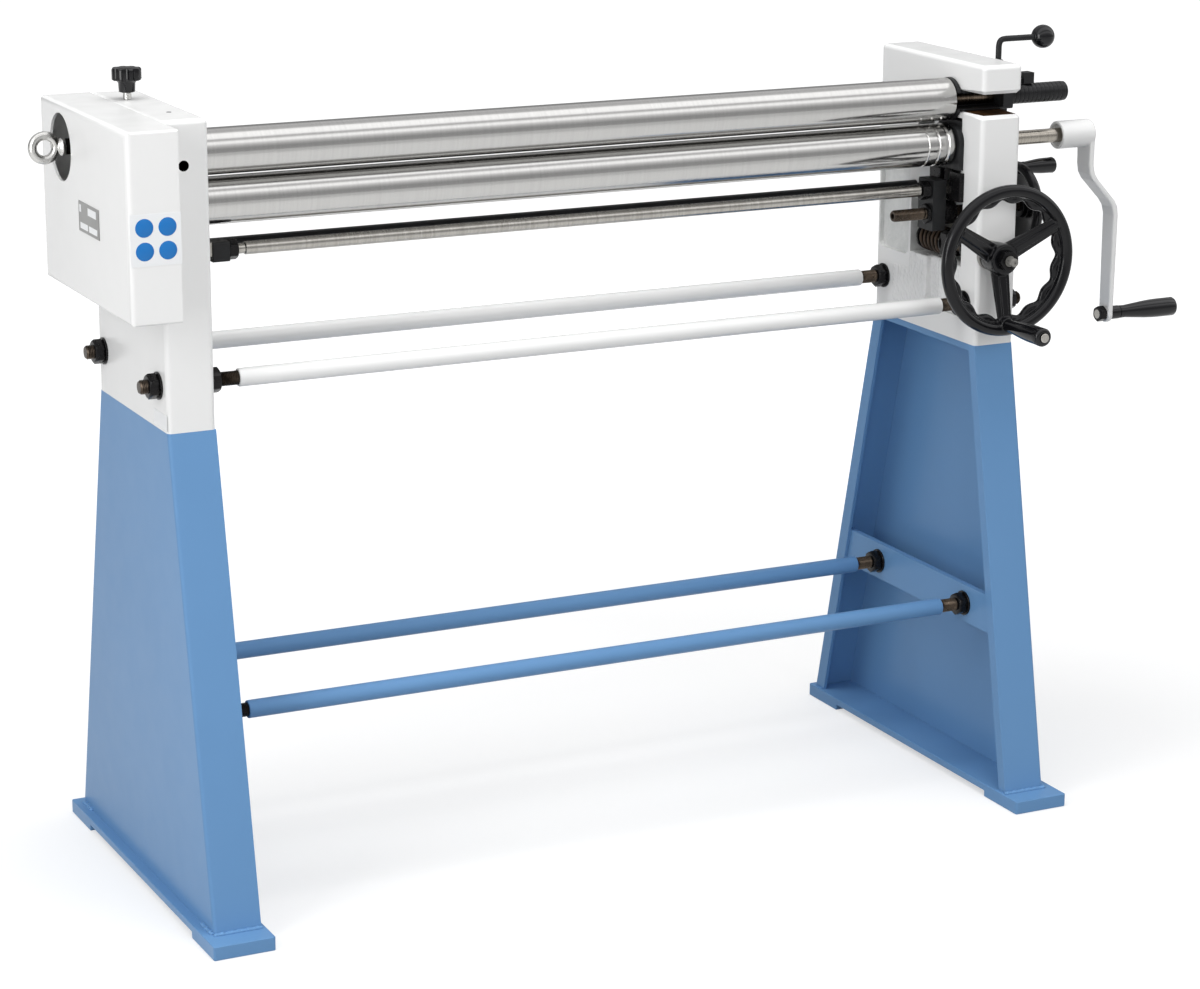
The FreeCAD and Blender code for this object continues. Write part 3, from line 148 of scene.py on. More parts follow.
studio = {
    "lamps": {
        "overheadLight": {"place": (-0.35, -0.3, 3.4), "target": (-0.25, 0, 0.8), "size": (3.2, 1.6),
                          "watts": 68, "mirrored": False},
        "leftLight": {"place": (-2.7, -1.0, 1.5), "target": (-0.8, 0, 0.9), "size": (1.0, 2.0),
                      "watts": 30, "mirrored": True},
        "frontLight": {"place": (0.2, -3.6, 2.2), "target": (0, 0, 1.0), "size": (2.6, 1.6),
                       "watts": 45, "mirrored": False},
    },
    "sky": 0.46, "skyColour": (0.98, 0.99, 1, 1), "strips": 1.85,
    "floorSize": 40, "floorLevel": -0.0002, "floor": 0.46, "floorRoughness": 0.9,
    "paper": 0.56, "farPaper": 0.84, "fadeFrom": 1.0, "fadeTo": 2.6,
    # degrees up from the horizon in front, over the top and down behind, with brightness
    "bands": ((0, 0.26), (14, 0.24), (24, 0.36), (36, 0.62), (42, 0.95), (50, 0.95), (57, 0.44), (64, 0.42),
              (71, 0.98), (98, 1.0), (106, 0.44), (122, 0.40), (136, 0.46), (150, 0.20), (180, 0.12)),
}


def addSoftbox(name, values):
    data = bpy.data.lights.new(name, "AREA")
    data.shape = "RECTANGLE"
    data.size, data.size_y = values["size"]
    data.energy = values["watts"]
    lamp = link(name, data)
    # where a lamp isn't mirrored, shiny metal sees only the world's strips
    lamp.visible_glossy = values["mirrored"]
    lamp.location = values["place"]
    aim = Vector(values["target"]) - Vector(values["place"])
    lamp.rotation_euler = aim.to_track_quat("-Z", "Y").to_euler()


def seenDirectly(net, wire):
    # camera, mirror and glass rays
    rays = addNode(net, wire, "LightPath")
    total = rays.outputs["Is Camera Ray"]
    for other in ("Is Glossy Ray", "Is Transmission Ray"):
        total = addNode(net, wire, "Math", total, rays.outputs[other], operation="MAXIMUM").outputs[0]
    return total


def makeFloor():
    bpy.ops.mesh.primitive_plane_add(size=studio["floorSize"], location=(0, 0, studio["floorLevel"]))
    floor = settle(bpy.context.object)
    floor.name = "floor"
    mat, net, wire, surface = newMaterial("floorPaper")
    setSockets(surface, {"Base Color": (studio["floor"],) * 3 + (1,), "Roughness": studio["floorRoughness"]})
    # the paper is brighter away from the machine, where the lamps fall off
    coords = addNode(net, wire, "TexCoord")
    reach = addNode(net, wire, "VectorMath", coords.outputs["Object"], operation="LENGTH")
    fade = addNode(net, wire, "MapRange", reach.outputs["Value"])
    setSockets(fade, {"From Min": studio["fadeFrom"], "From Max": studio["fadeTo"], "To Min": 0.0,
                      "To Max": studio["farPaper"] - studio["paper"]})
    rays = addNode(net, wire, "LightPath")
    total = addNode(net, wire, "Math", fade.outputs["Result"], rays.outputs["Is Camera Ray"],
                    operation="MULTIPLY_ADD")
    total.inputs[2].default_value = studio["paper"]
    glow = addNode(net, wire, "Emission")
    setSockets(glow, {"Color": (1, 1, 1, 1)})
    wire.new(total.outputs[0], glow.inputs["Strength"])
    lit = addNode(net, wire, "AddShader", surface.outputs[0], glow.outputs[0])
    whole = addNode(net, wire, "MixShader", seenDirectly(net, wire), surface.outputs[0], lit.outputs[0])
    wire.new(whole.outputs[0], net["Material Output"].inputs["Surface"])
    floor.data.materials.append(mat)


def stripLights(net, wire):
    # the white room as shiny metal sees it: long bright strips overhead, by the angle round the X axis
    coords = addNode(net, wire, "TexCoord")
    split = addNode(net, wire, "SeparateXYZ", coords.outputs["Generated"])
    back = addNode(net, wire, "Math", split.outputs["Y"], operation="MULTIPLY")
    back.inputs[1].default_value = -1
    angle = addNode(net, wire, "Math", split.outputs["Z"], back.outputs[0], operation="ARCTAN2")
    share = addNode(net, wire, "Math", angle.outputs[0], operation="DIVIDE")
    share.inputs[1].default_value = pi
    stops = [(degrees / 180, (value, value, value * 1.01)) for degrees, value in studio["bands"]]
    return addRamp(net, wire, share.outputs[0], stops)


def makeWorld():
    world = bpy.data.worlds.new("studio")
    bpy.context.scene.world = world
    world.use_nodes = True
    net, wire = world.node_tree.nodes, world.node_tree.links
    plain = net["Background"]
    setSockets(plain, {"Color": studio["skyColour"], "Strength": studio["sky"]})
    shiny = addNode(net, wire, "Background", stripLights(net, wire))
    setSockets(shiny, {"Strength": studio["strips"]})
    seen = addNode(net, wire, "Background")
    setSockets(seen, {"Color": (1, 1, 1, 1), "Strength": 1})
    rays = addNode(net, wire, "LightPath")
    lit = addNode(net, wire, "MixShader", rays.outputs["Is Glossy Ray"], plain.outputs[0], shiny.outputs[0])
    whole = addNode(net, wire, "MixShader", rays.outputs["Is Camera Ray"], lit.outputs[0], seen.outputs[0])
    wire.new(whole.outputs[0], net["World Output"].inputs["Surface"])


makeCamera()
for lampName, lampValues in studio["lamps"].items():
    addSoftbox(lampName, lampValues)
makeFloor()
makeWorld()
bpy.context.scene.view_settings.view_transform = "Standard"
print("camera, lamps, floor and world ready")


# materials: each has two shades that a noise mixes, a varied roughness, and bump where the surface has it

def addNoise(net, wire, scale, detail, stretch=(1, 1, 1), rough=0.5):
    coords = addNode(net, wire, "TexCoord")
    mapping = addNode(net, wire, "Mapping", coords.outputs["Object"])
    setSockets(mapping, {"Scale": stretch})
    grain = addNode(net, wire, "TexNoise", mapping.outputs[0])
    setSockets(grain, {"Scale": scale, "Detail": detail, "Roughness": rough})
    return grain.outputs["Fac"]


def varyColour(net, wire, surface, noise, *stops):
    wire.new(addRamp(net, wire, noise, stops), surface.inputs["Base Color"])


def varyRoughness(net, wire, surface, noise, *stops):
    greys = [(place, (value, value, value)) for place, value in stops]
    wire.new(addRamp(net, wire, noise, greys), surface.inputs["Roughness"])


def addBump(net, wire, surface, source, distance, strength):
    bump = addNode(net, wire, "Bump")
    setSockets(bump, {"Distance": distance, "Strength": strength})
    wire.new(source, bump.inputs["Height"])
    wire.new(bump.outputs[0], surface.inputs["Normal"])


def makePaint(name, colour, pale, roughness, peel=0.0, coat=0.15, gloss=0.4):
    # sprayed enamel, moulded plastic or a printed label, with orange peel where peel isn't 0
    mat, net, wire, surface = newMaterial(name)
    setSockets(surface, {"Specular IOR Level": gloss, "Coat Weight": coat, "Coat Roughness": 0.12})
    varyColour(net, wire, surface, addNoise(net, wire, 3.5, 3), (0.35, colour), (0.68, pale))
    dull = addNoise(net, wire, 26, 5)
    varyRoughness(net, wire, surface, dull, (0.3, roughness), (0.7, roughness + 0.05))
    if peel:
        addBump(net, wire, surface, addNoise(net, wire, 60, 1), 0.00002, peel)
    return mat


def makeCast(name, colour, pale, roughness, pits, metallic=0.0, scale=240, gloss=0.3, bend=1.45):
    # rough sand-cast, blackened or oily surface; pits is the bump's depth in metres, bend the IOR
    mat, net, wire, surface = newMaterial(name)
    setSockets(surface, {"Metallic": metallic, "IOR": bend, "Specular IOR Level": gloss})
    varyColour(net, wire, surface, addNoise(net, wire, 40, 6, rough=0.65), (0.3, colour), (0.72, pale))
    dull = addNoise(net, wire, 120, 4)
    varyRoughness(net, wire, surface, dull, (0.25, roughness), (0.75, roughness + 0.14))
    addBump(net, wire, surface, addNoise(net, wire, scale, 5, rough=0.6), pits, 0.8)
    return mat


def makeGround(name, colour, dark, roughness, stretch=(60, 1, 1), lines=0.00001):
    # ground or turned metal: fine lines square to the stretched direction
    mat, net, wire, surface = newMaterial(name)
    setSockets(surface, {"Metallic": 1})
    varyColour(net, wire, surface, addNoise(net, wire, 6, 3, stretch, 0.6), (0.3, dark), (0.62, colour))
    fine = addNoise(net, wire, 55, 3, stretch, 0.7)
    varyRoughness(net, wire, surface, fine, (0.25, roughness - 0.04), (0.8, roughness + 0.07))
    addBump(net, wire, surface, fine, lines, 0.5)
    return mat


paints = {
    "white": {"name": "whiteEnamel", "colour": (0.785, 0.785, 0.78), "pale": (0.80, 0.80, 0.795),
              "roughness": 0.22, "peel": 0.25},
    "blue": {"name": "blueEnamel", "colour": (0.132, 0.280, 0.508), "pale": (0.140, 0.291, 0.522),
             "roughness": 0.28, "coat": 0.02, "gloss": 0.12},
    "plastic": {"name": "blackPlastic", "colour": (0.003, 0.003, 0.004), "pale": (0.005, 0.005, 0.006),
                "roughness": 0.08, "coat": 0.08, "gloss": 0.33},
    "label": {"name": "labelWhite", "colour": (0.78, 0.79, 0.80), "pale": (0.80, 0.81, 0.82),
              "roughness": 0.34, "peel": 0.05, "coat": 0.0},
    "disc": {"name": "discBlue", "colour": (0.004, 0.150, 0.46), "pale": (0.006, 0.165, 0.49),
             "roughness": 0.30, "peel": 0.05, "coat": 0.1},
    "plate": {"name": "etchedPlate", "colour": (0.28, 0.28, 0.275), "pale": (0.32, 0.32, 0.315),
              "roughness": 0.40, "peel": 0.05, "coat": 0.0},
}
roughSurfaces = {
    # rough cast face in the cored recesses: real pits, and a white darker than the enamel as painted shade
    "roughShadedWhite": {"name": "castWhitePaintedShade", "colour": (0.58, 0.59, 0.58), "pale": (0.72, 0.725, 0.715),
                   "roughness": 0.32, "pits": 0.0009, "scale": 210},
    "thread": {"name": "oiledThread", "colour": (0.022, 0.018, 0.015), "pale": (0.115, 0.088, 0.066),
               "roughness": 0.24, "pits": 0.0001, "metallic": 0.9},
    "oxide": {"name": "blackOxide", "colour": (0.005, 0.005, 0.006), "pale": (0.015, 0.014, 0.014),
              "roughness": 0.18, "pits": 0.00004, "metallic": 0.4},
    "iron": {"name": "blackIron", "colour": (0.010, 0.010, 0.011), "pale": (0.019, 0.020, 0.021),
             "roughness": 0.34, "pits": 0.00015, "metallic": 0.1},
    "grease": {"name": "greasyGear", "colour": (0.006, 0.005, 0.004), "pale": (0.085, 0.038, 0.012),
               "roughness": 0.35, "pits": 0.0005, "scale": 60, "gloss": 0.2, "bend": 1.25},
    "wheel": {"name": "wheelEnamel", "colour": (0.003, 0.003, 0.004), "pale": (0.005, 0.005, 0.006),
              "roughness": 0.12, "pits": 0.00003, "scale": 150, "gloss": 0.33},
    "rubber": {"name": "ribbedRubber", "colour": (0.007, 0.007, 0.008), "pale": (0.014, 0.014, 0.015),
               "roughness": 0.24, "pits": 0.00006, "scale": 200},
    "spring": {"name": "rustySpring", "colour": (0.022, 0.018, 0.015), "pale": (0.075, 0.050, 0.034),
               "roughness": 0.38, "pits": 0.0001, "metallic": 0.7},
    "cast": {"name": "machinedIron", "colour": (0.20, 0.195, 0.185), "pale": (0.33, 0.32, 0.30),
             "roughness": 0.40, "pits": 0.0001, "metallic": 0.7},
    # near black with almost no reflection: painted shade on the pull shaft's disc, deep inside the gear cover
    "paintedShadeDisc": {"name": "paintedShadeDisc", "colour": (0.004, 0.004, 0.004), "pale": (0.010, 0.009, 0.008),
                 "roughness": 0.8, "pits": 0.0002, "scale": 200, "gloss": 0.04, "bend": 1.06},
    # near black with almost no reflection: painted shade inside holes
    "hollow": {"name": "holeShadeBlack", "colour": (0.0015, 0.0015, 0.0015), "pale": (0.003, 0.003, 0.003),
               "roughness": 0.6, "pits": 0.0001, "scale": 200, "gloss": 0.05, "bend": 1.06},
}
metals = {
    "roll": {"name": "groundRoll", "colour": (0.525, 0.52, 0.508), "dark": (0.492, 0.487, 0.475),
             "roughness": 0.15},
    # the rear roll is darker than the front rolls: painted shade for the gap between the upper and lower
    # rolls, where it is seen
    "rearRoll": {"name": "rearRollPaintedShade", "colour": (0.27, 0.262, 0.247), "dark": (0.20, 0.193, 0.18),
                 "roughness": 0.17},
    "bright": {"name": "turnedSteel", "colour": (0.45, 0.435, 0.405), "dark": (0.36, 0.345, 0.315),
               "roughness": 0.24},
    "axle": {"name": "axleSteel", "colour": (0.42, 0.39, 0.345), "dark": (0.33, 0.305, 0.265),
             "roughness": 0.26},
    "journal": {"name": "oiledJournal", "colour": (0.26, 0.205, 0.155), "dark": (0.12, 0.09, 0.065),
                "roughness": 0.26},
    "bronze": {"name": "bronze", "colour": (0.50, 0.30, 0.13), "dark": (0.34, 0.19, 0.08),
               "roughness": 0.30, "stretch": (20, 1, 1)},
    "zinc": {"name": "brightZinc", "colour": (0.60, 0.595, 0.575), "dark": (0.55, 0.545, 0.53),
             "roughness": 0.26, "stretch": (1, 1, 1), "lines": 0.000004},
}
look = {key: makePaint(**values) for key, values in paints.items()}
look |= {key: makeCast(**values) for key, values in roughSurfaces.items()}
look |= {key: makeGround(**values) for key, values in metals.items()}
print("materials ready")


# modelling helpers: a modifier is applied at once, and a tool that cuts is removed after its cut

def useModifier(obj, kind, **values):
    pick(obj)
    modifier = obj.modifiers.new(kind.lower(), kind)
    for key, value in values.items():
        setattr(modifier, key, value)
    bpy.ops.object.modifier_apply(modifier=modifier.name)
    return obj


def roundEdges(obj, width, segments=2, angle=32):
    return useModifier(obj, "BEVEL", width=width * mm, segments=segments, limit_method="ANGLE",
                       angle_limit=radians(angle), miter_outer="MITER_ARC")


def outwards(obj):
    pick(obj)
    bpy.ops.object.mode_set(mode="EDIT")
    bpy.ops.mesh.select_all(action="SELECT")
    bpy.ops.mesh.remove_doubles(threshold=0.00001)
    bpy.ops.mesh.normals_make_consistent(inside=False)
    bpy.ops.object.mode_set(mode="OBJECT")
    return obj


def joined(first, *others):
    pick(first, *others)
    bpy.ops.object.join()
    return first


def carve(obj, tool, operation="DIFFERENCE"):
    useModifier(obj, "BOOLEAN", object=tool, operation=operation, solver="EXACT")
    bpy.data.objects.remove(tool)
    return obj


def fuseSoft(obj, size, passes):
    # overlapping forms become one casting with small natural radii; size is the voxel's
    useModifier(obj, "REMESH", mode="VOXEL", voxel_size=size * mm)
    return useModifier(obj, "SMOOTH", iterations=passes, factor=0.5)


def repeat(obj, *moves):
    # copies with their own mesh, each moved by (x, y, z) millimetres
    made = []
    for move in moves:
        copy = obj.copy()
        copy.data = obj.data.copy()
        bpy.context.scene.collection.objects.link(copy)
        copy.location = Vector(move) * mm
        made.append(settle(copy))
    return made


def addBlock(x0, x1, y0, y1, z0, z1):
    bpy.ops.object.select_all(action="DESELECT")
    low, high = at(x0, y0, z0), at(x1, y1, z1)
    bpy.ops.mesh.primitive_cube_add(size=1, location=(low + high) / 2)
    obj = bpy.context.object
    obj.scale = high - low
    return settle(obj)


def addTurned(start, axis, steps, sides=64):
    # a disc, extruded and resized ring by ring along the axis; steps are (distance, radius)
    bpy.ops.object.select_all(action="DESELECT")
    along = Vector(axis).normalized()
    turn = along.to_track_quat("Z", "Y").to_euler()
    distance, radius = steps[0]
    bpy.ops.mesh.primitive_circle_add(vertices=sides, radius=radius * mm, fill_type="NGON",
                                      location=start + along * distance * mm, rotation=turn)
    obj = bpy.context.object
    bpy.ops.object.mode_set(mode="EDIT")
    for nextDistance, nextRadius in steps[1:]:
        step = along * (nextDistance - distance) * mm
        bpy.ops.mesh.extrude_region_move(TRANSFORM_OT_translate={"value": step})
        if abs(nextRadius - radius) > 1e-6:
            bpy.ops.transform.resize(value=(nextRadius / radius,) * 3,
                                     center_override=start + along * nextDistance * mm)
        distance, radius = nextDistance, nextRadius
    bpy.ops.object.mode_set(mode="OBJECT")
    return outwards(settle(obj))


def drill(obj, start, axis, low, high, radius, sides=40):
    # a round hole along the axis, from low to high
    return carve(obj, addTurned(start, axis, ((low, radius), (high, radius)), sides))


def addRing(centre, turn, mean, section, around, across=28):
    bpy.ops.object.select_all(action="DESELECT")
    bpy.ops.mesh.primitive_torus_add(location=centre, rotation=turn, major_segments=around,
                                     minor_segments=across, major_radius=mean * mm,
                                     minor_radius=section * mm)
    return settle(bpy.context.object)


def addRod(points, radius, closed=False):
    # a round bar, smooth along an open line, or from point to point of a closed one
    curve = bpy.data.curves.new("rod", "CURVE")
    curve.dimensions = "3D"
    curve.bevel_depth = radius * mm
    curve.bevel_resolution = 5
    curve.use_fill_caps = not closed
    line = curve.splines.new("POLY" if closed else "NURBS")
    line.points.add(len(points) - 1)
    for point, place in zip(line.points, points):
        point.co = (*place, 1)
    line.order_u = 3
    line.use_endpoint_u = True
    line.use_cyclic_u = closed
    pick(link("rod", curve))
    bpy.ops.object.convert(target="MESH")
    return outwards(settle(bpy.context.object))


def addHexagon(start, axis, across, thick):
    bpy.ops.object.select_all(action="DESELECT")
    along = Vector(axis).normalized()
    turn = along.to_track_quat("Z", "Y").to_euler()
    corner = across / 2 / cos(pi / 6)
    bpy.ops.mesh.primitive_cylinder_add(vertices=6, radius=corner * mm, depth=thick * mm,
                                        location=start + along * thick / 2 * mm, rotation=turn)
    obj = settle(bpy.context.object)
    # the corners are turned off by a cone at each end
    face, past, slope = across * 0.475, corner + 0.2, 0.16
    cones = addTurned(start, axis, ((0, face), (thick * slope, past), (thick * (1 - slope), past),
                                    (thick, face)), 48)
    return carve(obj, cones, "INTERSECT")


def threadSteps(start, end, radius, pitch=2.5, depth=1.2):
    steps = []
    for number in range(int((end - start) / pitch)):
        low = start + number * pitch
        steps += [(low, radius - depth), (low + pitch * 0.5, radius)]
    return steps + [(end, radius - depth)]


def finish(obj, name, body, material, *replaced, slot=None, smooth=35, flat=False):
    obj.name = name
    obj.data.name = name
    obj.data.materials.clear()
    obj.data.materials.append(material)
    pick(obj)
    bpy.ops.object.shade_smooth_by_angle(angle=radians(smooth))
    if flat:
        useModifier(obj, "WEIGHTED_NORMAL", keep_sharp=True, weight=80)
    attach(obj, body)
    if replaced:
        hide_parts(*replaced)
    return obj


def paintWhere(obj, material, wanted):
    # a second finish on the faces whose middle is wanted
    obj.data.materials.append(material)
    for face in obj.data.polygons:
        if wanted(placeOf(face.center)):
            face.material_index = len(obj.data.materials) - 1


def chamferWhere(obj, width, wanted, segments=1):
    # only the edges whose two ends, taken together, are wanted
    pick(obj)
    bpy.ops.object.mode_set(mode="EDIT")
    bpy.ops.mesh.select_mode(type="EDGE")
    bpy.ops.mesh.select_all(action="DESELECT")
    bpy.ops.object.mode_set(mode="OBJECT")
    points = [placeOf(vertex.co) for vertex in obj.data.vertices]
    for edge in obj.data.edges:
        edge.select = wanted(points[edge.vertices[0]], points[edge.vertices[1]])
    bpy.ops.object.mode_set(mode="EDIT")
    bpy.ops.mesh.bevel(offset=width * mm, segments=segments, affect="EDGES", clamp_overlap=True)
    bpy.ops.mesh.select_mode(type="VERT")
    bpy.ops.object.mode_set(mode="OBJECT")
    return obj


def copyNode(node):
    # a node's own faces, merged and with flat faces made whole, ready for rounding
    obj = nodes[node].copy()
    obj.data = nodes[node].data.copy()
    for key in list(obj.keys()):
        del obj[key]
    obj.parent = None
    bpy.context.scene.collection.objects.link(obj)
    pick(obj)
    bpy.ops.object.mode_set(mode="EDIT")
    bpy.ops.mesh.select_all(action="SELECT")
    bpy.ops.mesh.remove_doubles(threshold=0.00001)
    bpy.ops.mesh.dissolve_limited(angle_limit=radians(0.6))
    bpy.ops.object.mode_set(mode="OBJECT")
    return obj


def dress(node, material, width, shape=None):
    # the node's own form with worked edges and, where shape is given, what it changes
    obj = copyNode(node)
    if shape:
        shape(obj)
    if width:
        roundEdges(obj, width, 2, 40)
    return finish(obj, node + "Dressed", bodyOf[node], material, node, slot=slotOf[node], flat=True)


# rolls: the three barrels are alike, and each journal is (place, radius) steps from left to right

rollShape = {
    "radius": 35.0, "barrelEnd": 652.0, "bevel": 1.6, "y": -65.0, "upperZ": 1158.5, "lowerZ": 1084.1,
    "rearY": 24.0, "rearZ": 1070.0, "sides": 128,
    # wire grooves: place, half width and depth
    "grooves": ((600, 2.2, 1.7), (620, 3.0, 2.3), (638, 3.8, 3.0)),
    "upperLeft": ((-777, 10), (-776, 11), (-735, 11), (-735, 13), (-652, 13)),
    # worn rings in the upper roll's right journal: place, width, slope and depth
    "journal": 12, "rings": ((664, 3.6, 0.6, 0.8), (688, 2.4, 0.4, 0.5), (706, 3.4, 0.4, 0.6)),
    "upperEnd": ((755, 12), (756, 11)),
    "pinHole": {"x": -769, "radius": 4, "reach": 24},
    "lowerLeft": ((-776, 11), (-775, 12), (-737, 12), (-737, 14), (-652, 14)),
    "lowerRight": ((652, 14), (728, 14), (728, 12), (936.5, 12), (938, 10.8)),
    "rearLeft": ((-701.5, 11), (-700.5, 12), (-652, 12)),
    "rearRight": ((652, 12), (700.5, 12), (701.5, 11)),
}


def addRoll(y, z, left, right, grooves=()):
    end, radius, bevel = rollShape["barrelEnd"], rollShape["radius"], rollShape["bevel"]
    barrel = [(-end, radius - bevel), (-end + bevel * 0.4, radius - bevel * 0.35), (-end + bevel, radius)]
    for place, half, deep in grooves:
        side = [(place - half, radius), (place - half * 0.75, radius - deep * 0.55),
                (place - half * 0.35, radius - deep)]
        barrel += side + [(2 * place - x, height) for x, height in reversed(side)]
    barrel += [(end - bevel, radius), (end - bevel * 0.4, radius - bevel * 0.35), (end, radius - bevel)]
    return addTurned(at(0, y, z), (1, 0, 0), [*left, *barrel, *right], rollShape["sides"])


def pastBarrel(place):
    return place.x > rollShape["barrelEnd"] + 0.5


def makeRolls():
    y, upperZ, lowerZ = rollShape["y"], rollShape["upperZ"], rollShape["lowerZ"]
    journal = rollShape["journal"]
    right = [(rollShape["barrelEnd"], journal)]
    for place, wide, slope, deep in rollShape["rings"]:
        right += [(place, journal), (place + slope, journal - deep), (place + wide - slope, journal - deep),
                  (place + wide, journal)]
    upper = addRoll(y, upperZ, rollShape["upperLeft"], (*right, *rollShape["upperEnd"]))
    hole = rollShape["pinHole"]
    drill(upper, at(hole["x"], y, upperZ), (0, 0, 1), -hole["reach"], hole["reach"], hole["radius"], 32)
    finish(upper, "upperRoll", "upper_roll", look["roll"], "upper_roll", slot="ground_steel", smooth=25)
    paintWhere(upper, look["journal"], pastBarrel)
    lower = addRoll(y, lowerZ, rollShape["lowerLeft"], rollShape["lowerRight"], rollShape["grooves"])
    finish(lower, "lowerRoll", "lower_roll", look["roll"], "lower_roll", slot="ground_steel", smooth=25)
    paintWhere(lower, look["axle"], pastBarrel)
    rear = addRoll(rollShape["rearY"], rollShape["rearZ"], rollShape["rearLeft"], rollShape["rearRight"])
    finish(rear, "rearRoll", "rear_roll", look["rearRoll"], "rear_roll", slot="ground_steel", smooth=25)


makeRolls()
print("rolls ready")


# tie rods: spacer tubes, and the threaded ends with a nut and a washer on each side of a wall

tieShape = {
    "tube": 14.0, "stud": 11.0, "studIn": 40.0, "tail": 12.0, "clear": 0.02,
    "nutAcross": 34.0, "nutThick": 15.5, "washer": 21.0, "washerThick": 3.0, "washerEdge": 0.5,
    "upper": {"end": 613.5, "wall": (662.0, 737.0), "places": ((-123.5, 826.3), (133.0, 826.3)),
              "finish": "white", "slot": "white_paint"},
    "lower": {"end": 619.5, "wall": (668.0, 678.0), "places": ((-146.0, 312.0), (133.0, 312.0)),
              "finish": "blue", "slot": "blue_paint"},
}


def addTieTube(y, z, end):
    radius, bore = tieShape["tube"], tieShape["stud"] + tieShape["clear"]
    half = [(-end + tieShape["studIn"], bore), (-end, bore), (-end, radius - 1.6), (-end + 0.6, radius - 0.5),
            (-end + 1.8, radius)]
    return addTurned(at(0, y, z), (1, 0, 0), half + [(-x, height) for x, height in reversed(half)], 48)


def addTieStud(y, z, side, end, nutIn, nutOut):
    # plain inside the tube, threaded up to the inner nut and past the outer one
    radius, root = tieShape["stud"], tieShape["stud"] - 0.9
    last = nutOut + tieShape["nutThick"] + tieShape["tail"]
    steps = [(end - tieShape["studIn"], root), (end - 6, root)] + threadSteps(end - 5, nutIn + 1, radius)
    steps += threadSteps(nutOut + tieShape["nutThick"] - 2, last - 1.5, radius) + [(last, radius - 2)]
    return addTurned(at(0, y, z), (side, 0, 0), steps, 40)


def makeTies():
    nutThick, washerThick = tieShape["nutThick"], tieShape["washerThick"]
    firstNut = addHexagon(at(0, 0, 0), (1, 0, 0), tieShape["nutAcross"], nutThick)
    drill(firstNut, at(0, 0, 0), (1, 0, 0), -2, nutThick + 2, tieShape["stud"])
    roundEdges(firstNut, 0.4, 1)
    radius, edge = tieShape["washer"], tieShape["washerEdge"]
    firstWasher = addTurned(at(0, 0, 0), (1, 0, 0), ((0, radius - edge), (edge, radius),
                            (washerThick - edge, radius), (washerThick, radius - edge)))
    drill(firstWasher, at(0, 0, 0), (1, 0, 0), -1, washerThick + 2, tieShape["stud"] + tieShape["clear"], 48)
    allNuts, allStuds = [], []
    for level in ("upper", "lower"):
        values = tieShape[level]
        wallIn, wallOut = values["wall"]
        nutIn, nutOut = wallIn - washerThick - nutThick, wallOut + washerThick
        tubes = []
        for y, z in values["places"]:
            tubes.append(addTieTube(y, z, values["end"]))
            for side in (1, -1):
                nuts, washers = [nutIn, nutOut], [nutIn + nutThick, wallOut]
                if side < 0:
                    nuts = [-x - nutThick for x in nuts]
                    washers = [-x - washerThick for x in washers]
                allNuts += repeat(firstNut, *[(x, y, z) for x in nuts])
                allNuts += repeat(firstWasher, *[(x, y, z) for x in washers])
                allStuds.append(addTieStud(y, z, side, values["end"], nutIn, nutOut))
        finish(joined(*tubes), level + "TieTubes", "frame", look[values["finish"]], level + "_tie_tubes",
               slot=values["slot"])
    bpy.data.objects.remove(firstNut)
    bpy.data.objects.remove(firstWasher)
    finish(joined(*allNuts), "tieNuts", "frame", look["oxide"], "tie_nuts", slot="black_steel", smooth=30)
    finish(joined(*allStuds), "tieStuds", "frame", look["thread"], "tie_studs", slot="thread_steel",
           smooth=30)


makeTies()
print("tie rods ready")


# front handwheel: a rim with a wavy finger ring behind it, and ridged spokes down to the dished hub

frontWheel = {
    "centre": (684.0, -215.0, 912.0), "radius": 125.0, "rim": 10.5,
    "waves": 15, "waveRadius": 102.5, "waveHeight": 3.4, "waveSection": 7.0, "waveBehind": 8.0,
    "hub": ((-44, 22), (-42, 24.5), (-34, 25.5), (-8, 26), (-5.4, 25), (-4, 23)), "bore": 10.02,
    "spokes": 3, "firstSpoke": 30, "spokeIn": 12, "dish": 24, "spokeEdge": 2.0,
    "arm": {"forward": 0, "out": 108, "wide": 34, "thick": 9, "farWide": 24},
    "ridge": {"forward": 4, "out": 106, "wide": 14, "thick": 11, "farWide": 11},
    "gripDown": 106, "gripBoss": ((-11, 11.5), (-9, 13), (9, 13), (11, 11.5)), "gripBore": 6.02,
}


def addSpoke(start, end, wide, thick, farWide, flat):
    # tapered bar with a rectangular section; flat is the direction of its thickness
    bpy.ops.object.select_all(action="DESELECT")
    along = (end - start).normalized()
    across = along.cross(flat).normalized()
    face = across.cross(along)
    bpy.ops.mesh.primitive_plane_add(size=1)
    bar = bpy.context.object
    turn = Matrix((across, face, along)).transposed().to_4x4()
    bar.matrix_world = Matrix.Translation(start) @ turn @ Matrix.Diagonal((wide * mm, thick * mm, 1, 1))
    settle(bar)
    bpy.ops.object.mode_set(mode="EDIT")
    bpy.ops.mesh.select_all(action="SELECT")
    bpy.ops.mesh.extrude_region_move(TRANSFORM_OT_translate={"value": end - start})
    bpy.ops.transform.resize(value=(farWide / wide,) * 3, center_override=end)
    bpy.ops.object.mode_set(mode="OBJECT")
    return roundEdges(outwards(bar), frontWheel["spokeEdge"])


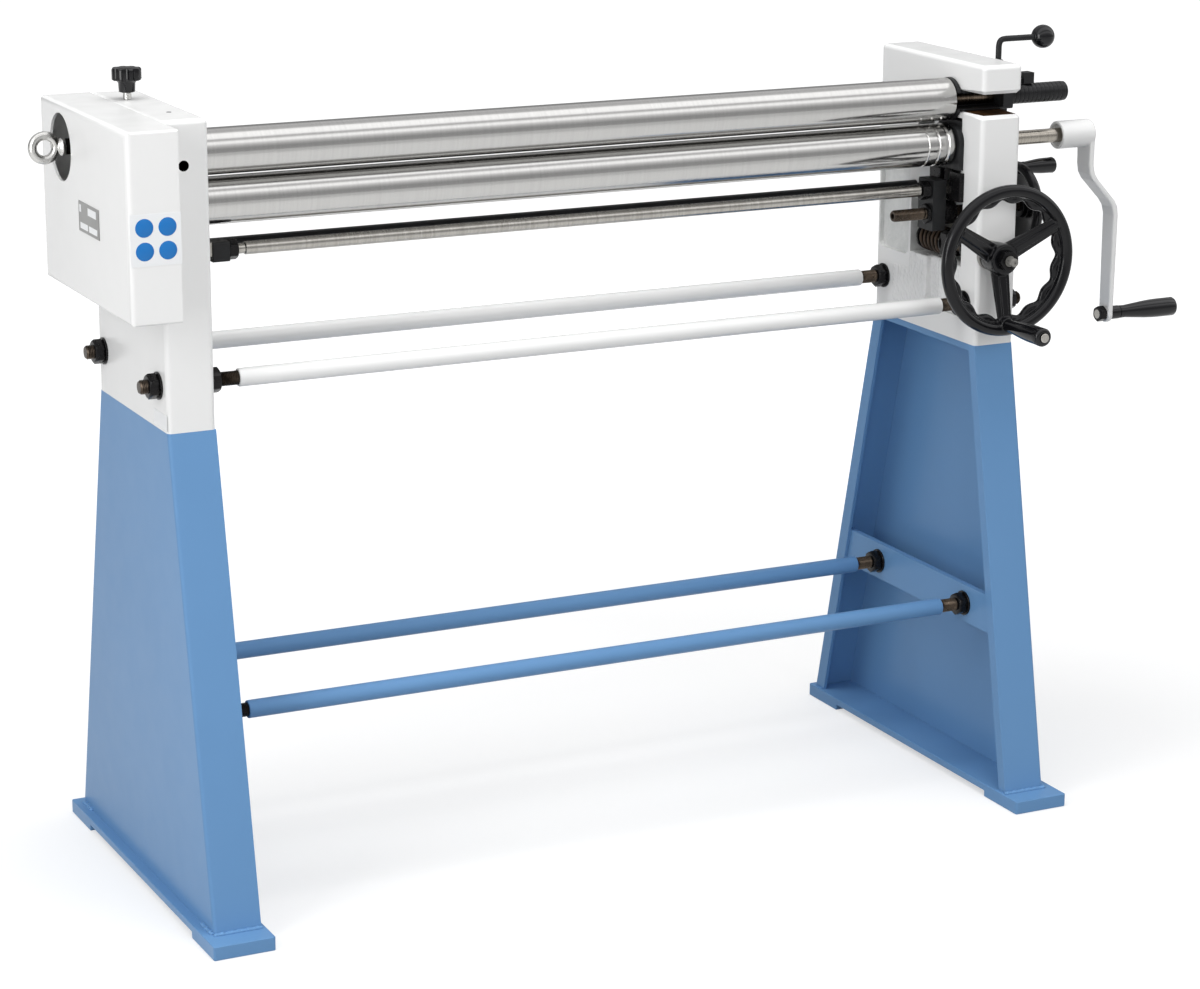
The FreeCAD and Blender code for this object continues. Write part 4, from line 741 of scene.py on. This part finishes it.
def makeFrontWheel():
    centre, forward = at(*frontWheel["centre"]), Vector((0, -1, 0))
    rim = frontWheel["rim"]
    wheel = addRing(centre, (pi / 2, 0, 0), frontWheel["radius"] - rim, rim, 160)
    points = []
    count = frontWheel["waves"] * 12
    for number in range(count):
        angle = 2 * pi * number / count
        reach = frontWheel["waveRadius"] + frontWheel["waveHeight"] * cos(frontWheel["waves"] * angle)
        point = Vector((reach * cos(angle), frontWheel["waveBehind"], reach * sin(angle)))
        points.append(centre + point * mm)
    wave = addRod(points, frontWheel["waveSection"], closed=True)
    hub = addTurned(centre, forward, frontWheel["hub"], 72)
    spokes = []
    for form in (frontWheel["arm"], frontWheel["ridge"]):
        middle = centre + forward * form["forward"] * mm
        for number in range(frontWheel["spokes"]):
            angle = radians(frontWheel["firstSpoke"] + number * 360 / frontWheel["spokes"])
            out = Vector((cos(angle), 0, sin(angle)))
            start = middle + out * frontWheel["spokeIn"] * mm - forward * frontWheel["dish"] * mm
            spokes.append(addSpoke(start, middle + out * form["out"] * mm, form["wide"], form["thick"],
                                   form["farWide"], forward))
    gripPlace = centre - Vector((0, 0, frontWheel["gripDown"])) * mm
    boss = addTurned(gripPlace, forward, frontWheel["gripBoss"], 48)
    joined(wheel, wave, hub, *spokes, boss)
    fuseSoft(wheel, size=1.25, passes=5)
    drill(wheel, centre, forward, -50, 0, frontWheel["bore"], 48)
    drill(wheel, gripPlace, forward, -14, 14, frontWheel["gripBore"])
    finish(wheel, "frontHandwheel", "front_wheel", look["wheel"], "front_handwheel", slot="black_paint",
           smooth=50)


makeFrontWheel()
print("front handwheel ready")


# side handwheel: a rim on a dished disc

sideWheel = {
    "centre": (796.0, -65.0, 970.0), "radius": 75.0, "rim": 8.5, "bore": 8.02,
    "hub": ((2, 18.5), (3.5, 20), (24, 20), (26, 18)),
    "dish": ((4.5, 68), (6.0, 63), (15.5, 24), (16.5, 18)),
    "hollow": ((-1, 66), (3.0, 60), (12.0, 23), (12.5, 12)),
    "gripUp": 64, "gripBoss": ((-8, 8.5), (-6.5, 10), (6.5, 10), (8, 8.5)), "gripBore": 5.02,
}


def makeSideWheel():
    centre, outside = at(*sideWheel["centre"]), (1, 0, 0)
    rim = sideWheel["rim"]
    wheel = addRing(centre, (0, pi / 2, 0), sideWheel["radius"] - rim, rim, 140)
    hub = addTurned(centre, outside, sideWheel["hub"])
    dish = addTurned(centre, outside, sideWheel["dish"], 140)
    carve(dish, addTurned(centre, outside, sideWheel["hollow"], 140))
    gripPlace = centre + Vector((0, 0, sideWheel["gripUp"])) * mm
    boss = addTurned(gripPlace, outside, sideWheel["gripBoss"], 40)
    joined(wheel, hub, dish, boss)
    fuseSoft(wheel, size=1.0, passes=4)
    drill(wheel, centre, outside, -6, 30, sideWheel["bore"])
    drill(wheel, gripPlace, outside, -12, 12, sideWheel["gripBore"], 32)
    finish(wheel, "sideHandwheel", "side_wheel", look["wheel"], "side_handwheel", slot="black_paint",
           smooth=50)


makeSideWheel()
print("side handwheel ready")


# crank arm: a flat bar with two bends, from the hub on the lower roll down to the grip

crankShape = {"hub": (871.0, 938.0, 23.5), "inner": 933.0, "outer": 989.0, "bendHigh": 1017.0,
              "bendLow": 955.0, "throw": 316.0, "bore": 12.02, "gripBore": 8.02,
              "foot": ((-4.9, 13.5), (-3.6, 15.2), (3.6, 15.2), (4.9, 13.5))}


def makeCrank():
    y, z = rollShape["y"], rollShape["lowerZ"]
    hubIn, hubOut, hubRadius = crankShape["hub"]
    hub = addTurned(at(0, y, z), (1, 0, 0),
                    ((hubIn + 7, 13.0), (hubIn + 7, 17.5), (hubIn + 0.8, 18.2), (hubIn, 19.0),
                     (hubIn, hubRadius - 1.2), (hubIn + 1.2, hubRadius), (hubOut - 4, hubRadius),
                     (hubOut - 1.2, hubRadius - 1.2), (hubOut, hubRadius - 4)), 96)
    low = z - crankShape["throw"]
    inner, outer = crankShape["inner"], crankShape["outer"]
    high, under = crankShape["bendHigh"], crankShape["bendLow"]
    # the bar's section, ring by ring: x, height, thickness and width
    rings = ((inner, z - 2, 10.0, 42.0), (inner, z - 22, 10.0, 41.0), (inner, high + 14, 10.0, 39.5),
             (inner + 3, high - 1, 11.4, 38.8), (inner + 10, high - 12, 13.0, 38.0),
             (outer - 10, under + 12, 13.0, 36.0), (outer - 3, under + 1, 11.4, 35.4),
             (outer, under - 14, 10.0, 34.8), (outer, under - 60, 10.0, 33.6), (outer, low + 50, 10.0, 31.4),
             (outer, low + 6, 10.0, 30.4), (outer, low - 1, 10.0, 28.0))
    x, height, thick, wide = rings[0]
    bpy.ops.object.select_all(action="DESELECT")
    bpy.ops.mesh.primitive_plane_add(size=1, location=at(x, y, height))
    arm = bpy.context.object
    arm.scale = (thick * mm, wide * mm, 1)
    settle(arm)
    bpy.ops.object.mode_set(mode="EDIT")
    bpy.ops.mesh.select_all(action="SELECT")
    for nextX, nextHeight, nextThick, nextWide in rings[1:]:
        move = Vector((nextX - x, 0, nextHeight - height)) * mm
        bpy.ops.mesh.extrude_region_move(TRANSFORM_OT_translate={"value": move})
        bpy.ops.transform.resize(value=(nextThick / thick, nextWide / wide, 1),
                                 center_override=at(nextX, y, nextHeight))
        x, height, thick, wide = nextX, nextHeight, nextThick, nextWide
    bpy.ops.object.mode_set(mode="OBJECT")
    roundEdges(outwards(arm), 3.0, 3, 50)
    foot = addTurned(at(outer, y, low), (1, 0, 0), crankShape["foot"], 56)
    joined(hub, arm, foot)
    fuseSoft(hub, size=1.0, passes=6)
    drill(hub, at(0, y, z), (1, 0, 0), hubIn - 3, hubOut + 3, crankShape["bore"], 64)
    drill(hub, at(outer, y, low), (1, 0, 0), -12, 12, crankShape["gripBore"])
    finish(hub, "crankArm", "lower_roll", look["white"], "crank_arm", smooth=50)


makeCrank()
print("crank ready")


# turned grips: each turns on a body that has its node's name

grips = {
    "front_grip": {"start": (684.0, -227.0, 806.0), "axis": (0, -1, 0), "length": 103.0, "foot": 11.0,
                   "belly": 15.0, "end": 14.0, "cap": 7.8},
    "side_grip": {"start": (804.6, -65.0, 1034.0), "axis": (1, 0, 0), "length": 63.5, "foot": 9.6,
                  "belly": 13.0, "end": 12.4, "cap": 6.8},
    "crank_grip": {"start": (1014.0, -65.0, 768.1), "axis": (1, 0, 0), "length": 115.0, "foot": 11.0,
                   "belly": 16.0, "end": 15.0, "cap": 9.8},
}
# how the foot swells to the belly: shares of the length and of the swelling
gripSwell = ((0.2, 0.15), (0.32, 0.42), (0.45, 0.72), (0.58, 0.92), (0.7, 1.0), (0.85, 1.0))
# the crank's pin is cut flush with its nut and has a black collar between the arm and the grip
crankPin = {"cut": (940, 970.4, -90, -40, 740, 800), "collar": (993, 1014)}


def makeGrip(node, length, foot, belly, end, cap, start, axis):
    # narrow foot with a bead, belly, rounded end, and a recess for the pin's bright head
    steps = [(0, foot * 0.82), (1.2, foot * 0.98), (3.5, foot), (length * 0.10, foot * 0.97)]
    for share, part in gripSwell:
        steps.append((length * share, foot + (belly - foot) * part))
    steps += [(length - 4, end + 1.2), (length - 1.6, end), (length - 0.4, end - 1.6), (length, end - 3.0),
              (length, cap + 0.8), (length - 1.4, cap + 0.6)]
    grip = addTurned(at(*start), axis, steps, 72)
    finish(grip, node.split("_")[0] + "Grip", node, look["plastic"], node, slot="black_grip")


def makeCrankPin():
    inner, outer = crankPin["collar"]
    pin = dress("crank_grip_pin", look["bright"], 0.4, lambda obj: carve(obj, addBlock(*crankPin["cut"])))
    paintWhere(pin, look["plastic"], lambda place: inner < place.x < outer)


for gripNode, gripValues in grips.items():
    makeGrip(gripNode, **gripValues)
makeCrankPin()
print("grips ready")


# eye bolt

eyeShape = {"centre": (-840.0, 64.5, 1158.5), "mean": 18.1, "section": 6.75, "neckX": -812,
            "neck": ((-12, 5.5), (-9, 7.0), (-6, 10.5), (-3, 13.0), (-2, 13.5), (2.2, 13.5), (3, 12.6)),
            "socket": 12.02}


def makeEye():
    x, y, z = eyeShape["centre"]
    eye = addRing(at(x, y, z), (pi / 2, 0, 0), eyeShape["mean"], eyeShape["section"], 96, 24)
    neckPlace = at(eyeShape["neckX"], y, z)
    joined(eye, addTurned(neckPlace, (1, 0, 0), eyeShape["neck"], 56))
    fuseSoft(eye, size=0.7, passes=5)
    drill(eye, neckPlace, (1, 0, 0), 0, 8, eyeShape["socket"], 48)
    finish(eye, "eyeBolt", "pull", look["zinc"], "eye_bolt", slot="galvanised", smooth=50)


# star knob: a scalloped head with a cap and a neck, on a stud with a fine thread in the casting

knobShape = {
    "place": (-709.0, 64.5, 1223.0), "head": ((29, 20.5), (30.5, 22.6), (45.5, 22.6), (47.5, 20.8)),
    "scallops": 8, "scallopReach": 24.6, "scallop": 6.6, "edge": 1.3,
    "cap": ((46.9, 13.0), (47.7, 13.0), (48.1, 12.4)),
    "neck": ((11, 10.5), (12, 12.2), (25, 13.0), (27, 14.5), (29.5, 17.0)),
    # the stud is thin below the casting's top and thick above it; a thread's values are its start, its end,
    # and its radius, pitch and depth
    "studLow": -52, "thinThread": (-50, 0, 5.0, 1.6, 0.55), "thickThread": (0.4, 11, 6.2, 1.8, 0.3),
    "studEnds": (4.0, 5.6), "studTop": 11.5,
}


def makeStarKnob():
    x, y, top = knobShape["place"]
    up = (0, 0, 1)
    head = addTurned(at(x, y, top), up, knobShape["head"], 96)
    reach, turn = knobShape["scallopReach"], 360 / knobShape["scallops"]
    for number in range(knobShape["scallops"]):
        angle = radians(turn / 2 + turn * number)
        place = at(x + reach * cos(angle), y + reach * sin(angle), top)
        drill(head, place, up, 20, 60, knobShape["scallop"])
    roundEdges(head, knobShape["edge"], 3, 30)
    cap = addTurned(at(x, y, top), up, knobShape["cap"], 56)
    neck = addTurned(at(x, y, top), up, knobShape["neck"])
    finish(joined(head, cap, neck), "starKnob", "star_knob", look["plastic"], slot="black_grip", smooth=38)
    lowEnd, topEnd = knobShape["studEnds"]
    steps = [(knobShape["studLow"], lowEnd), *threadSteps(*knobShape["thinThread"]),
             *threadSteps(*knobShape["thickThread"]), (knobShape["studTop"], topEnd)]
    stud = addTurned(at(x, y, top), up, steps, 40)
    finish(stud, "starKnobStud", "star_knob", look["zinc"], "star_knob", slot="black_grip", smooth=30)


# ball lever: a bent rod with a stop collar, and a ball with a flat where the rod enters

leverShape = {"x": 748.0, "y": -69.0, "low": 1176.4, "bend": 1252.0, "radius": 5.0, "stopZ": 1213.1,
              "stop": ((0, 7.4), (0.6, 8), (4.4, 8), (5, 7.4)), "ballX": 834.0, "ball": 19.5, "flat": 17.6,
              "collar": ((15.0, 7.6), (18.6, 7.6), (19.4, 6.6))}


def makeBallLever():
    x, y, ballX = leverShape["x"], leverShape["y"], leverShape["ballX"]
    low, bend = leverShape["low"], leverShape["bend"]
    lever = addRod([at(x, y, low), at(x, y, low + 20), at(x, y, bend - 22), at(x, y, bend - 9),
                    at(x + 2.6, y, bend - 2.6), at(x + 9, y, bend), at(x + 22, y, bend),
                    at(ballX - 30, y, bend), at(ballX - 10, y, bend)], leverShape["radius"])
    stop = addTurned(at(x, y, leverShape["stopZ"]), (0, 0, 1), leverShape["stop"], 40)
    drill(stop, at(x, y, leverShape["stopZ"]), (0, 0, 1), -2, 7, leverShape["radius"] - 0.1, 32)
    finish(joined(lever, stop), "leverRod", "ball_lever", look["iron"], "lever_rod", smooth=40)
    middle, inwards = at(ballX, y, bend), (-1, 0, 0)
    bpy.ops.object.select_all(action="DESELECT")
    bpy.ops.mesh.primitive_uv_sphere_add(segments=64, ring_count=40, radius=leverShape["ball"] * mm,
                                         location=middle, rotation=(0, pi / 2, 0))
    ball = settle(bpy.context.object)
    drill(ball, middle, inwards, leverShape["flat"], 24, 12)
    joined(ball, addTurned(middle, inwards, leverShape["collar"], 40))
    finish(ball, "leverBall", "ball_lever", look["plastic"], "lever_ball", slot="black_grip", smooth=50)


makeEye()
makeStarKnob()
makeBallLever()
print("eye, knob and lever ready")


# swing grip: ribs of moulded rubber

swingGrip = {"start": 757.4, "radius": 16.5, "ribs": 14, "step": 8.3, "firstRib": 4}


def makeSwingGrip():
    radius, step, first = swingGrip["radius"], swingGrip["step"], swingGrip["firstRib"]
    steps = [(0, 13.0), (3, 14.0)]
    for number in range(swingGrip["ribs"]):
        low = first + number * step
        steps += [(low, radius - 0.6), (low + 0.5, radius - 0.15), (low + 1.3, radius),
                  (low + step - 2.2, radius), (low + step - 1.4, radius - 0.15),
                  (low + step - 0.9, radius - 0.6)]
    end = first + swingGrip["ribs"] * step
    steps += [(end, radius - 0.6), (end + 3, radius - 0.5), (end + 4.2, radius - 1.6),
              (end + 5, radius - 3.4)]
    grip = addTurned(at(swingGrip["start"], rollShape["y"], rollShape["upperZ"]), (1, 0, 0), steps)
    finish(grip, "swingGrip", "swing", look["rubber"], "swing_grip", slot="black_grip", smooth=30)


# side spindle: threaded inner end with a hexagon socket, plain part, and the seat of its handwheel

spindleShape = {"z": 970.0, "end": 555.0, "radius": 9.86, "threadEnd": 614, "plainFrom": 616,
                "seat": ((798, 8), (822, 8), (823, 7)), "socketAcross": 9.0, "socketDeep": 11.0}


def makeSpindle():
    y, z, end, radius = rollShape["y"], spindleShape["z"], spindleShape["end"], spindleShape["radius"]
    seat = spindleShape["seat"]
    steps = [(end, 8.2), (end + 1.6, 9.2)] + threadSteps(end + 2, spindleShape["threadEnd"], radius)
    steps += [(spindleShape["plainFrom"], radius), (seat[0][0], radius), *seat]
    spindle = addTurned(at(0, y, z), (1, 0, 0), steps, 48)
    carve(spindle, addHexagon(at(end - 2, y, z), (1, 0, 0), spindleShape["socketAcross"],
                              spindleShape["socketDeep"] + 2))
    finish(spindle, "sideSpindle", "side_wheel", look["thread"], "side_spindle", slot="thread_steel",
           smooth=30)


# front screw with its bright, centre-drilled tip, and the spring round it

screwShape = {
    "x": 684.0, "z": 912.0, "plain": ((-222, 9.0), (-221, 9.6), (-112, 9.6), (-96, 9.6)),
    # start, end, radius, pitch and depth
    "thread": (-94, 46, 10.0, 4.0, 1.3), "end": ((48.5, 8.7), (48.5, 7), (63, 7)),
    "tip": ((-238, 5.4), (-237.4, 6.6), (-236, 7.2), (-224, 7.2), (-224, 8.8), (-221.5, 8.8)),
    "centreHole": ((-240, 2.6), (-236, 2.2), (-235, 0.4)),
    "springFrom": -38.0, "springTo": 27.0, "coils": 5.0, "coilRadius": 20.5, "wire": 3.0, "coilSteps": 36,
}


def makeFrontScrew():
    foot, along = at(screwShape["x"], 0, screwShape["z"]), (0, 1, 0)
    steps = [*screwShape["plain"], *threadSteps(*screwShape["thread"]), *screwShape["end"]]
    screw = addTurned(foot, along, steps, 40)
    finish(screw, "frontScrew", "front_wheel", look["thread"], "front_screw", slot="thread_steel", smooth=30)
    tip = addTurned(foot, along, screwShape["tip"], 48)
    carve(tip, addTurned(foot, along, screwShape["centreHole"], 32))
    finish(tip, "frontScrewTip", "front_wheel", look["cast"], slot="thread_steel", smooth=30)


def makeSpring():
    front, rear, wire = screwShape["springFrom"], screwShape["springTo"], screwShape["wire"]
    coils, steps = screwShape["coils"], int(screwShape["coilSteps"] * screwShape["coils"])
    bpy.ops.object.select_all(action="DESELECT")
    bpy.ops.mesh.primitive_circle_add(vertices=14, radius=wire * mm, fill_type="NOTHING",
                                      location=(screwShape["coilRadius"] * mm, 0, 0), rotation=(pi / 2, 0, 0))
    spring = settle(bpy.context.object)
    useModifier(spring, "SCREW", angle=2 * pi * coils, screw_offset=(rear - front - 2 * wire) * mm,
                steps=steps, render_steps=steps, axis="Z", use_merge_vertices=False)
    # the wire's two open ends are closed
    pick(spring)
    bpy.ops.object.mode_set(mode="EDIT")
    bpy.ops.mesh.select_all(action="DESELECT")
    bpy.ops.mesh.select_mode(type="EDGE")
    bpy.ops.mesh.select_non_manifold()
    bpy.ops.mesh.edge_face_add()
    bpy.ops.object.mode_set(mode="OBJECT")
    place = at(screwShape["x"], front + wire, screwShape["z"])
    spring.matrix_world = Matrix.Translation(place) @ Matrix.Rotation(-pi / 2, 4, "X")
    outwards(settle(spring))
    finish(spring, "screwSpring", "front_wheel", look["spring"], "screw_spring", slot="ground_steel",
           smooth=60)


makeSwingGrip()
makeSpindle()
makeFrontScrew()
makeSpring()
print("swing grip, spindle, screw and spring ready")


# housings: the slot for the upper roll has chamfered lips, and the cored space a rough cast face whose darker
# white is painted shade

housing = {"inner": 662.0, "outer": 737.0, "half": 160.0, "edge": 1.2,
           "slotLow": 1141.2, "slotHigh": 1175.8, "slotFrom": -48, "slotChamfer": 6.0, "greaseFrom": -40,
           "coreHalf": 151, "coreLow": 765, "coreHigh": 1214, "slotClear": (1136, 1180),
           "oilHole": {"x": -694, "y": -81, "radius": 4.2, "low": 1205, "high": 1222.3},
           "frontHole": {"x": -701, "z": 1156, "radius": 8.3, "depth": 26}}


def slotEdge(*ends):
    def lip(place):
        level = min(abs(place.z - housing["slotLow"]), abs(place.z - housing["slotHigh"])) < 0.3
        front = place.y < 8.5 - housing["half"]
        within = housing["inner"] + 0.5 < place.x < housing["outer"] - 0.5
        return level and place.y < housing["slotFrom"] and (front or not within)
    return all(lip(place) for place in ends)


def cored(place):
    across = housing["inner"] + 1 < abs(place.x) < housing["outer"] - 1
    level = housing["coreLow"] < place.z < housing["coreHigh"]
    return across and level and abs(place.y) < housing["coreHalf"]


def coredOutsideSlot(place):
    low, high = housing["slotClear"]
    return cored(place) and not low <= place.z <= high


def slotFloor(place):
    return abs(place.z - housing["slotLow"]) < 0.4 and place.y < housing["greaseFrom"]


def inHole(place):
    # the oil hole in the left casting's top and the round hole in its front, painted near black as the shade
    # inside them
    oil, front = housing["oilHole"], housing["frontHole"]
    if hypot(place.x - oil["x"], place.y - oil["y"]) < oil["radius"]:
        return oil["low"] < place.z < oil["high"]
    depth = place.y + housing["half"]
    reach = hypot(place.x - front["x"], place.z - front["z"])
    return reach < front["radius"] and 0.6 < depth < front["depth"]


def makeHousings():
    right = dress("right_housing", look["white"], housing["edge"],
                  lambda obj: chamferWhere(obj, housing["slotChamfer"], slotEdge))
    # the cored faces get the darker white, painted shade in the recess
    paintWhere(right, look["roughShadedWhite"], coredOutsideSlot)
    paintWhere(right, look["grease"], slotFloor)
    left = dress("left_housing", look["white"], housing["edge"])
    # here too the cored faces get the darker white of painted shade
    paintWhere(left, look["roughShadedWhite"], cored)
    paintWhere(left, look["hollow"], inHole)


# swinging bearing: its front is open, and the roll's journal shows in it

swingShape = {"openFrom": 650.0, "openTo": 738.0, "openHalf": 13.2, "end": 757.0, "lugLong": 17,
              "catchTo": 772, "catchHalf": 6, "catchLow": 17.2, "catchHigh": 25.5}


def openFront(obj):
    y, z = rollShape["y"], rollShape["upperZ"]
    half, end = swingShape["openHalf"], swingShape["end"]
    carve(obj, addBlock(swingShape["openFrom"], swingShape["openTo"], y - 45, y, z - half, z + half))
    carve(obj, addBlock(end, end + 20, y - 60, y + 60, z - 60, z + 60))
    joined(obj, addBlock(end - swingShape["lugLong"], end - 0.2, y - 22, y + 14, z - 24, z - 12))


def onlyCatch(obj):
    y, z, end, half = rollShape["y"], rollShape["upperZ"], swingShape["end"], swingShape["catchHalf"]
    low, high = swingShape["catchLow"], swingShape["catchHigh"]
    carve(obj, addBlock(end, 795, y - 60, y + 60, z - 60, z + low))
    joined(obj, addBlock(end - 7, swingShape["catchTo"], y - half, y + half, z + low, z + high))


# thicker wall of the right casting below the lifting gear, with a stippled face beside the rear tie rod

bossShape = {"blocks": ((661.2, 728.8, -3, 104, 790, 856), (661.2, 728.8, -3, 52, 790, 884),
                        (673.0, 728.8, -40, 0, 800.2, 884), (663.5, 728.8, -109.5, -37, 800.2, 884)),
             "voxel": 1.5, "passes": 22, "gritScale": 0.005, "gritHeight": 0.0034}


def makeCastBoss():
    boss = joined(*[addBlock(*sides) for sides in bossShape["blocks"]])
    fuseSoft(boss, bossShape["voxel"], bossShape["passes"])
    grit = bpy.data.textures.new("grit", "CLOUDS")
    grit.noise_scale = bossShape["gritScale"]
    grit.noise_depth = 3
    useModifier(boss, "DISPLACE", texture=grit, texture_coords="GLOBAL", strength=bossShape["gritHeight"],
                mid_level=0.5)
    finish(boss, "castBoss", "frame", look["white"], slot="white_paint", smooth=60)


makeHousings()
dress("swing_bearing", look["iron"], 0.5, openFront)
dress("swing_end_plate", look["iron"], 0.8, onlyCatch)
makeCastBoss()
print("castings ready")


# gear cover: pressed from sheet, so its outer corners are rounded more than its other edges

coverShape = {"corner": 3.4, "edge": 0.5}


def outerCorner(*ends):
    low, high = (placeOf(corner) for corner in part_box("gear_cover"))
    sides = ((0, low.x), (1, low.y), (1, high.y), (2, low.z), (2, high.z))
    return sum(all(abs(place[axis] - value) < 0.3 for place in ends) for axis, value in sides) >= 2


def coverEdges(obj):
    roundEdges(chamferWhere(obj, coverShape["corner"], outerCorner, 4), coverShape["edge"], 1, 60)


dress("gear_cover", look["white"], 0, coverEdges)

# these keep the frame's shape and get worked edges of the width given here
dressed = {
    "white": {"lever_bracket": 0.8},
    "blue": {"left_leg": 1.0, "right_leg": 1.0, "feet": 1.4, "cross_bars": 0.9},
    "oxide": {"wedge_guides": 0.7, "spindle_collars": 0.7, "rod_nuts": 0.5, "screw_collars": 0.6,
              "shaft_nuts": 0.5, "housing_screws": 0.4, "travelling_nut": 0.8},
    "iron": {"lift_blocks": 0.9, "lower_bearings": 0.8},
    "bright": {"lift_rod": 0.5, "side_grip_pin": 0.4, "front_grip_pin": 0.4},
    "cast": {"screw_bushes": 0.6},
}
for finishName, group in dressed.items():
    for node, width in group.items():
        dress(node, look[finishName], width)
    print("dressed", finishName, "nodes")

# the rest keep their frame mesh and get a finish
plain = {
    "bright": ("lift_wedges", "shaft_keys", "drive_pin"),
    "cast": ("wedge_plate_right", "wedge_plate_left"),
    "iron": ("rear_bearings", "swivel_block", "rock_levers", "rock_shaft"),
    "bronze": ("lower_bushes", "gear_ring"),
    "grease": ("lower_gear", "upper_gear"),
    # the pull shaft's disc, seen through the cover's hole, is near black as painted shade
    "paintedShadeDisc": ("pull_shaft",),
}
for finishName, members in plain.items():
    for node in members:
        nodes[node].data.materials.clear()
        nodes[node].data.materials.append(look[finishName])
print("inner nodes finished")


# bare plates on the gear cover's left face and front, and a tag on the left housing's outer face

plateShape = {
    "leftFace": -815.1, "plateThick": 1.0, "plate": (-112.0, -17.0, 1047.0, 1092.0),
    "fieldsFrom": -816.35, "fieldsTo": -816.0,
    "fields": ((-100, -62, 1076, 1087), (-30, -22, 1076, 1087), (-104, -66, 1052, 1061),
               (-60, -25, 1052, 1061)),
    "coverFront": -243.02, "panel": (-812.0, -736.0, 1030.5, 1106.0),
    "discsX": (-791.0, -756.4), "discsZ": (1086.0, 1052.0), "disc": 13.5,
    "tagFace": -737.02, "tag": (-158, -99, 764, 787), "thin": 0.33,
}


def makePlates():
    face, thin = plateShape["leftFace"], plateShape["thin"]
    plate = addBlock(face - plateShape["plateThick"], face, *plateShape["plate"])
    finish(roundEdges(plate, 0.35), "blankPlate", "frame", look["plate"])
    fields = [addBlock(plateShape["fieldsFrom"], plateShape["fieldsTo"], *sides)
              for sides in plateShape["fields"]]
    finish(joined(*fields), "blankPlateFields", "frame", look["label"])
    x0, x1, z0, z1 = plateShape["panel"]
    front = plateShape["coverFront"]
    panel = addBlock(x0, x1, front - thin, front, z0, z1)
    finish(roundEdges(panel, 0.12, 1), "discPanel", "frame", look["label"])
    radius = plateShape["disc"]
    form = ((0, radius), (0.2, radius), (0.28, radius - 0.2))
    discs = [addTurned(at(x, front - 0.28, z), (0, -1, 0), form)
             for z in plateShape["discsZ"] for x in plateShape["discsX"]]
    finish(joined(*discs), "blueDiscs", "frame", look["disc"])
    tag = addBlock(plateShape["tagFace"] - thin, plateShape["tagFace"], *plateShape["tag"])
    finish(roundEdges(tag, 0.12, 1), "paleLabel", "frame", look["label"])


# weld beads along the legs' lower edges: runs from (x, y) to (x, y) on both sides

weldShape = {"runs": (((664, -305.5), (735, -305.5)), ((738.5, -296), (738.5, -255)),
                      ((738.5, 282), (738.5, 322))),
             "z": 22.6, "radius": 3.9, "step": 5, "squash": (1.15, 1.1, 0.85)}


def makeWelds():
    beads = []
    for side in (-1, 1):
        for start, end in weldShape["runs"]:
            span = Vector((end[0] - start[0], end[1] - start[1], 0))
            count = max(4, int(span.length / weldShape["step"]))
            for number in range(count + 1):
                share = number / count
                wobble = 0.7 * sin(number * 2.3 + side)
                place = at(side * (start[0] + span.x * share), start[1] + span.y * share,
                           weldShape["z"] + 0.4 * wobble)
                bpy.ops.object.select_all(action="DESELECT")
                bpy.ops.mesh.primitive_uv_sphere_add(segments=14, ring_count=9, location=place,
                                                     radius=(weldShape["radius"] + 0.5 * wobble) * mm,
                                                     scale=weldShape["squash"])
                beads.append(settle(bpy.context.object))
    welds = fuseSoft(joined(*beads), size=0.9, passes=2)
    finish(welds, "weldBeads", "frame", look["blue"], slot="blue_paint", smooth=60)


makePlates()
makeWelds()
print("plates and welds ready")

print("machine ready")
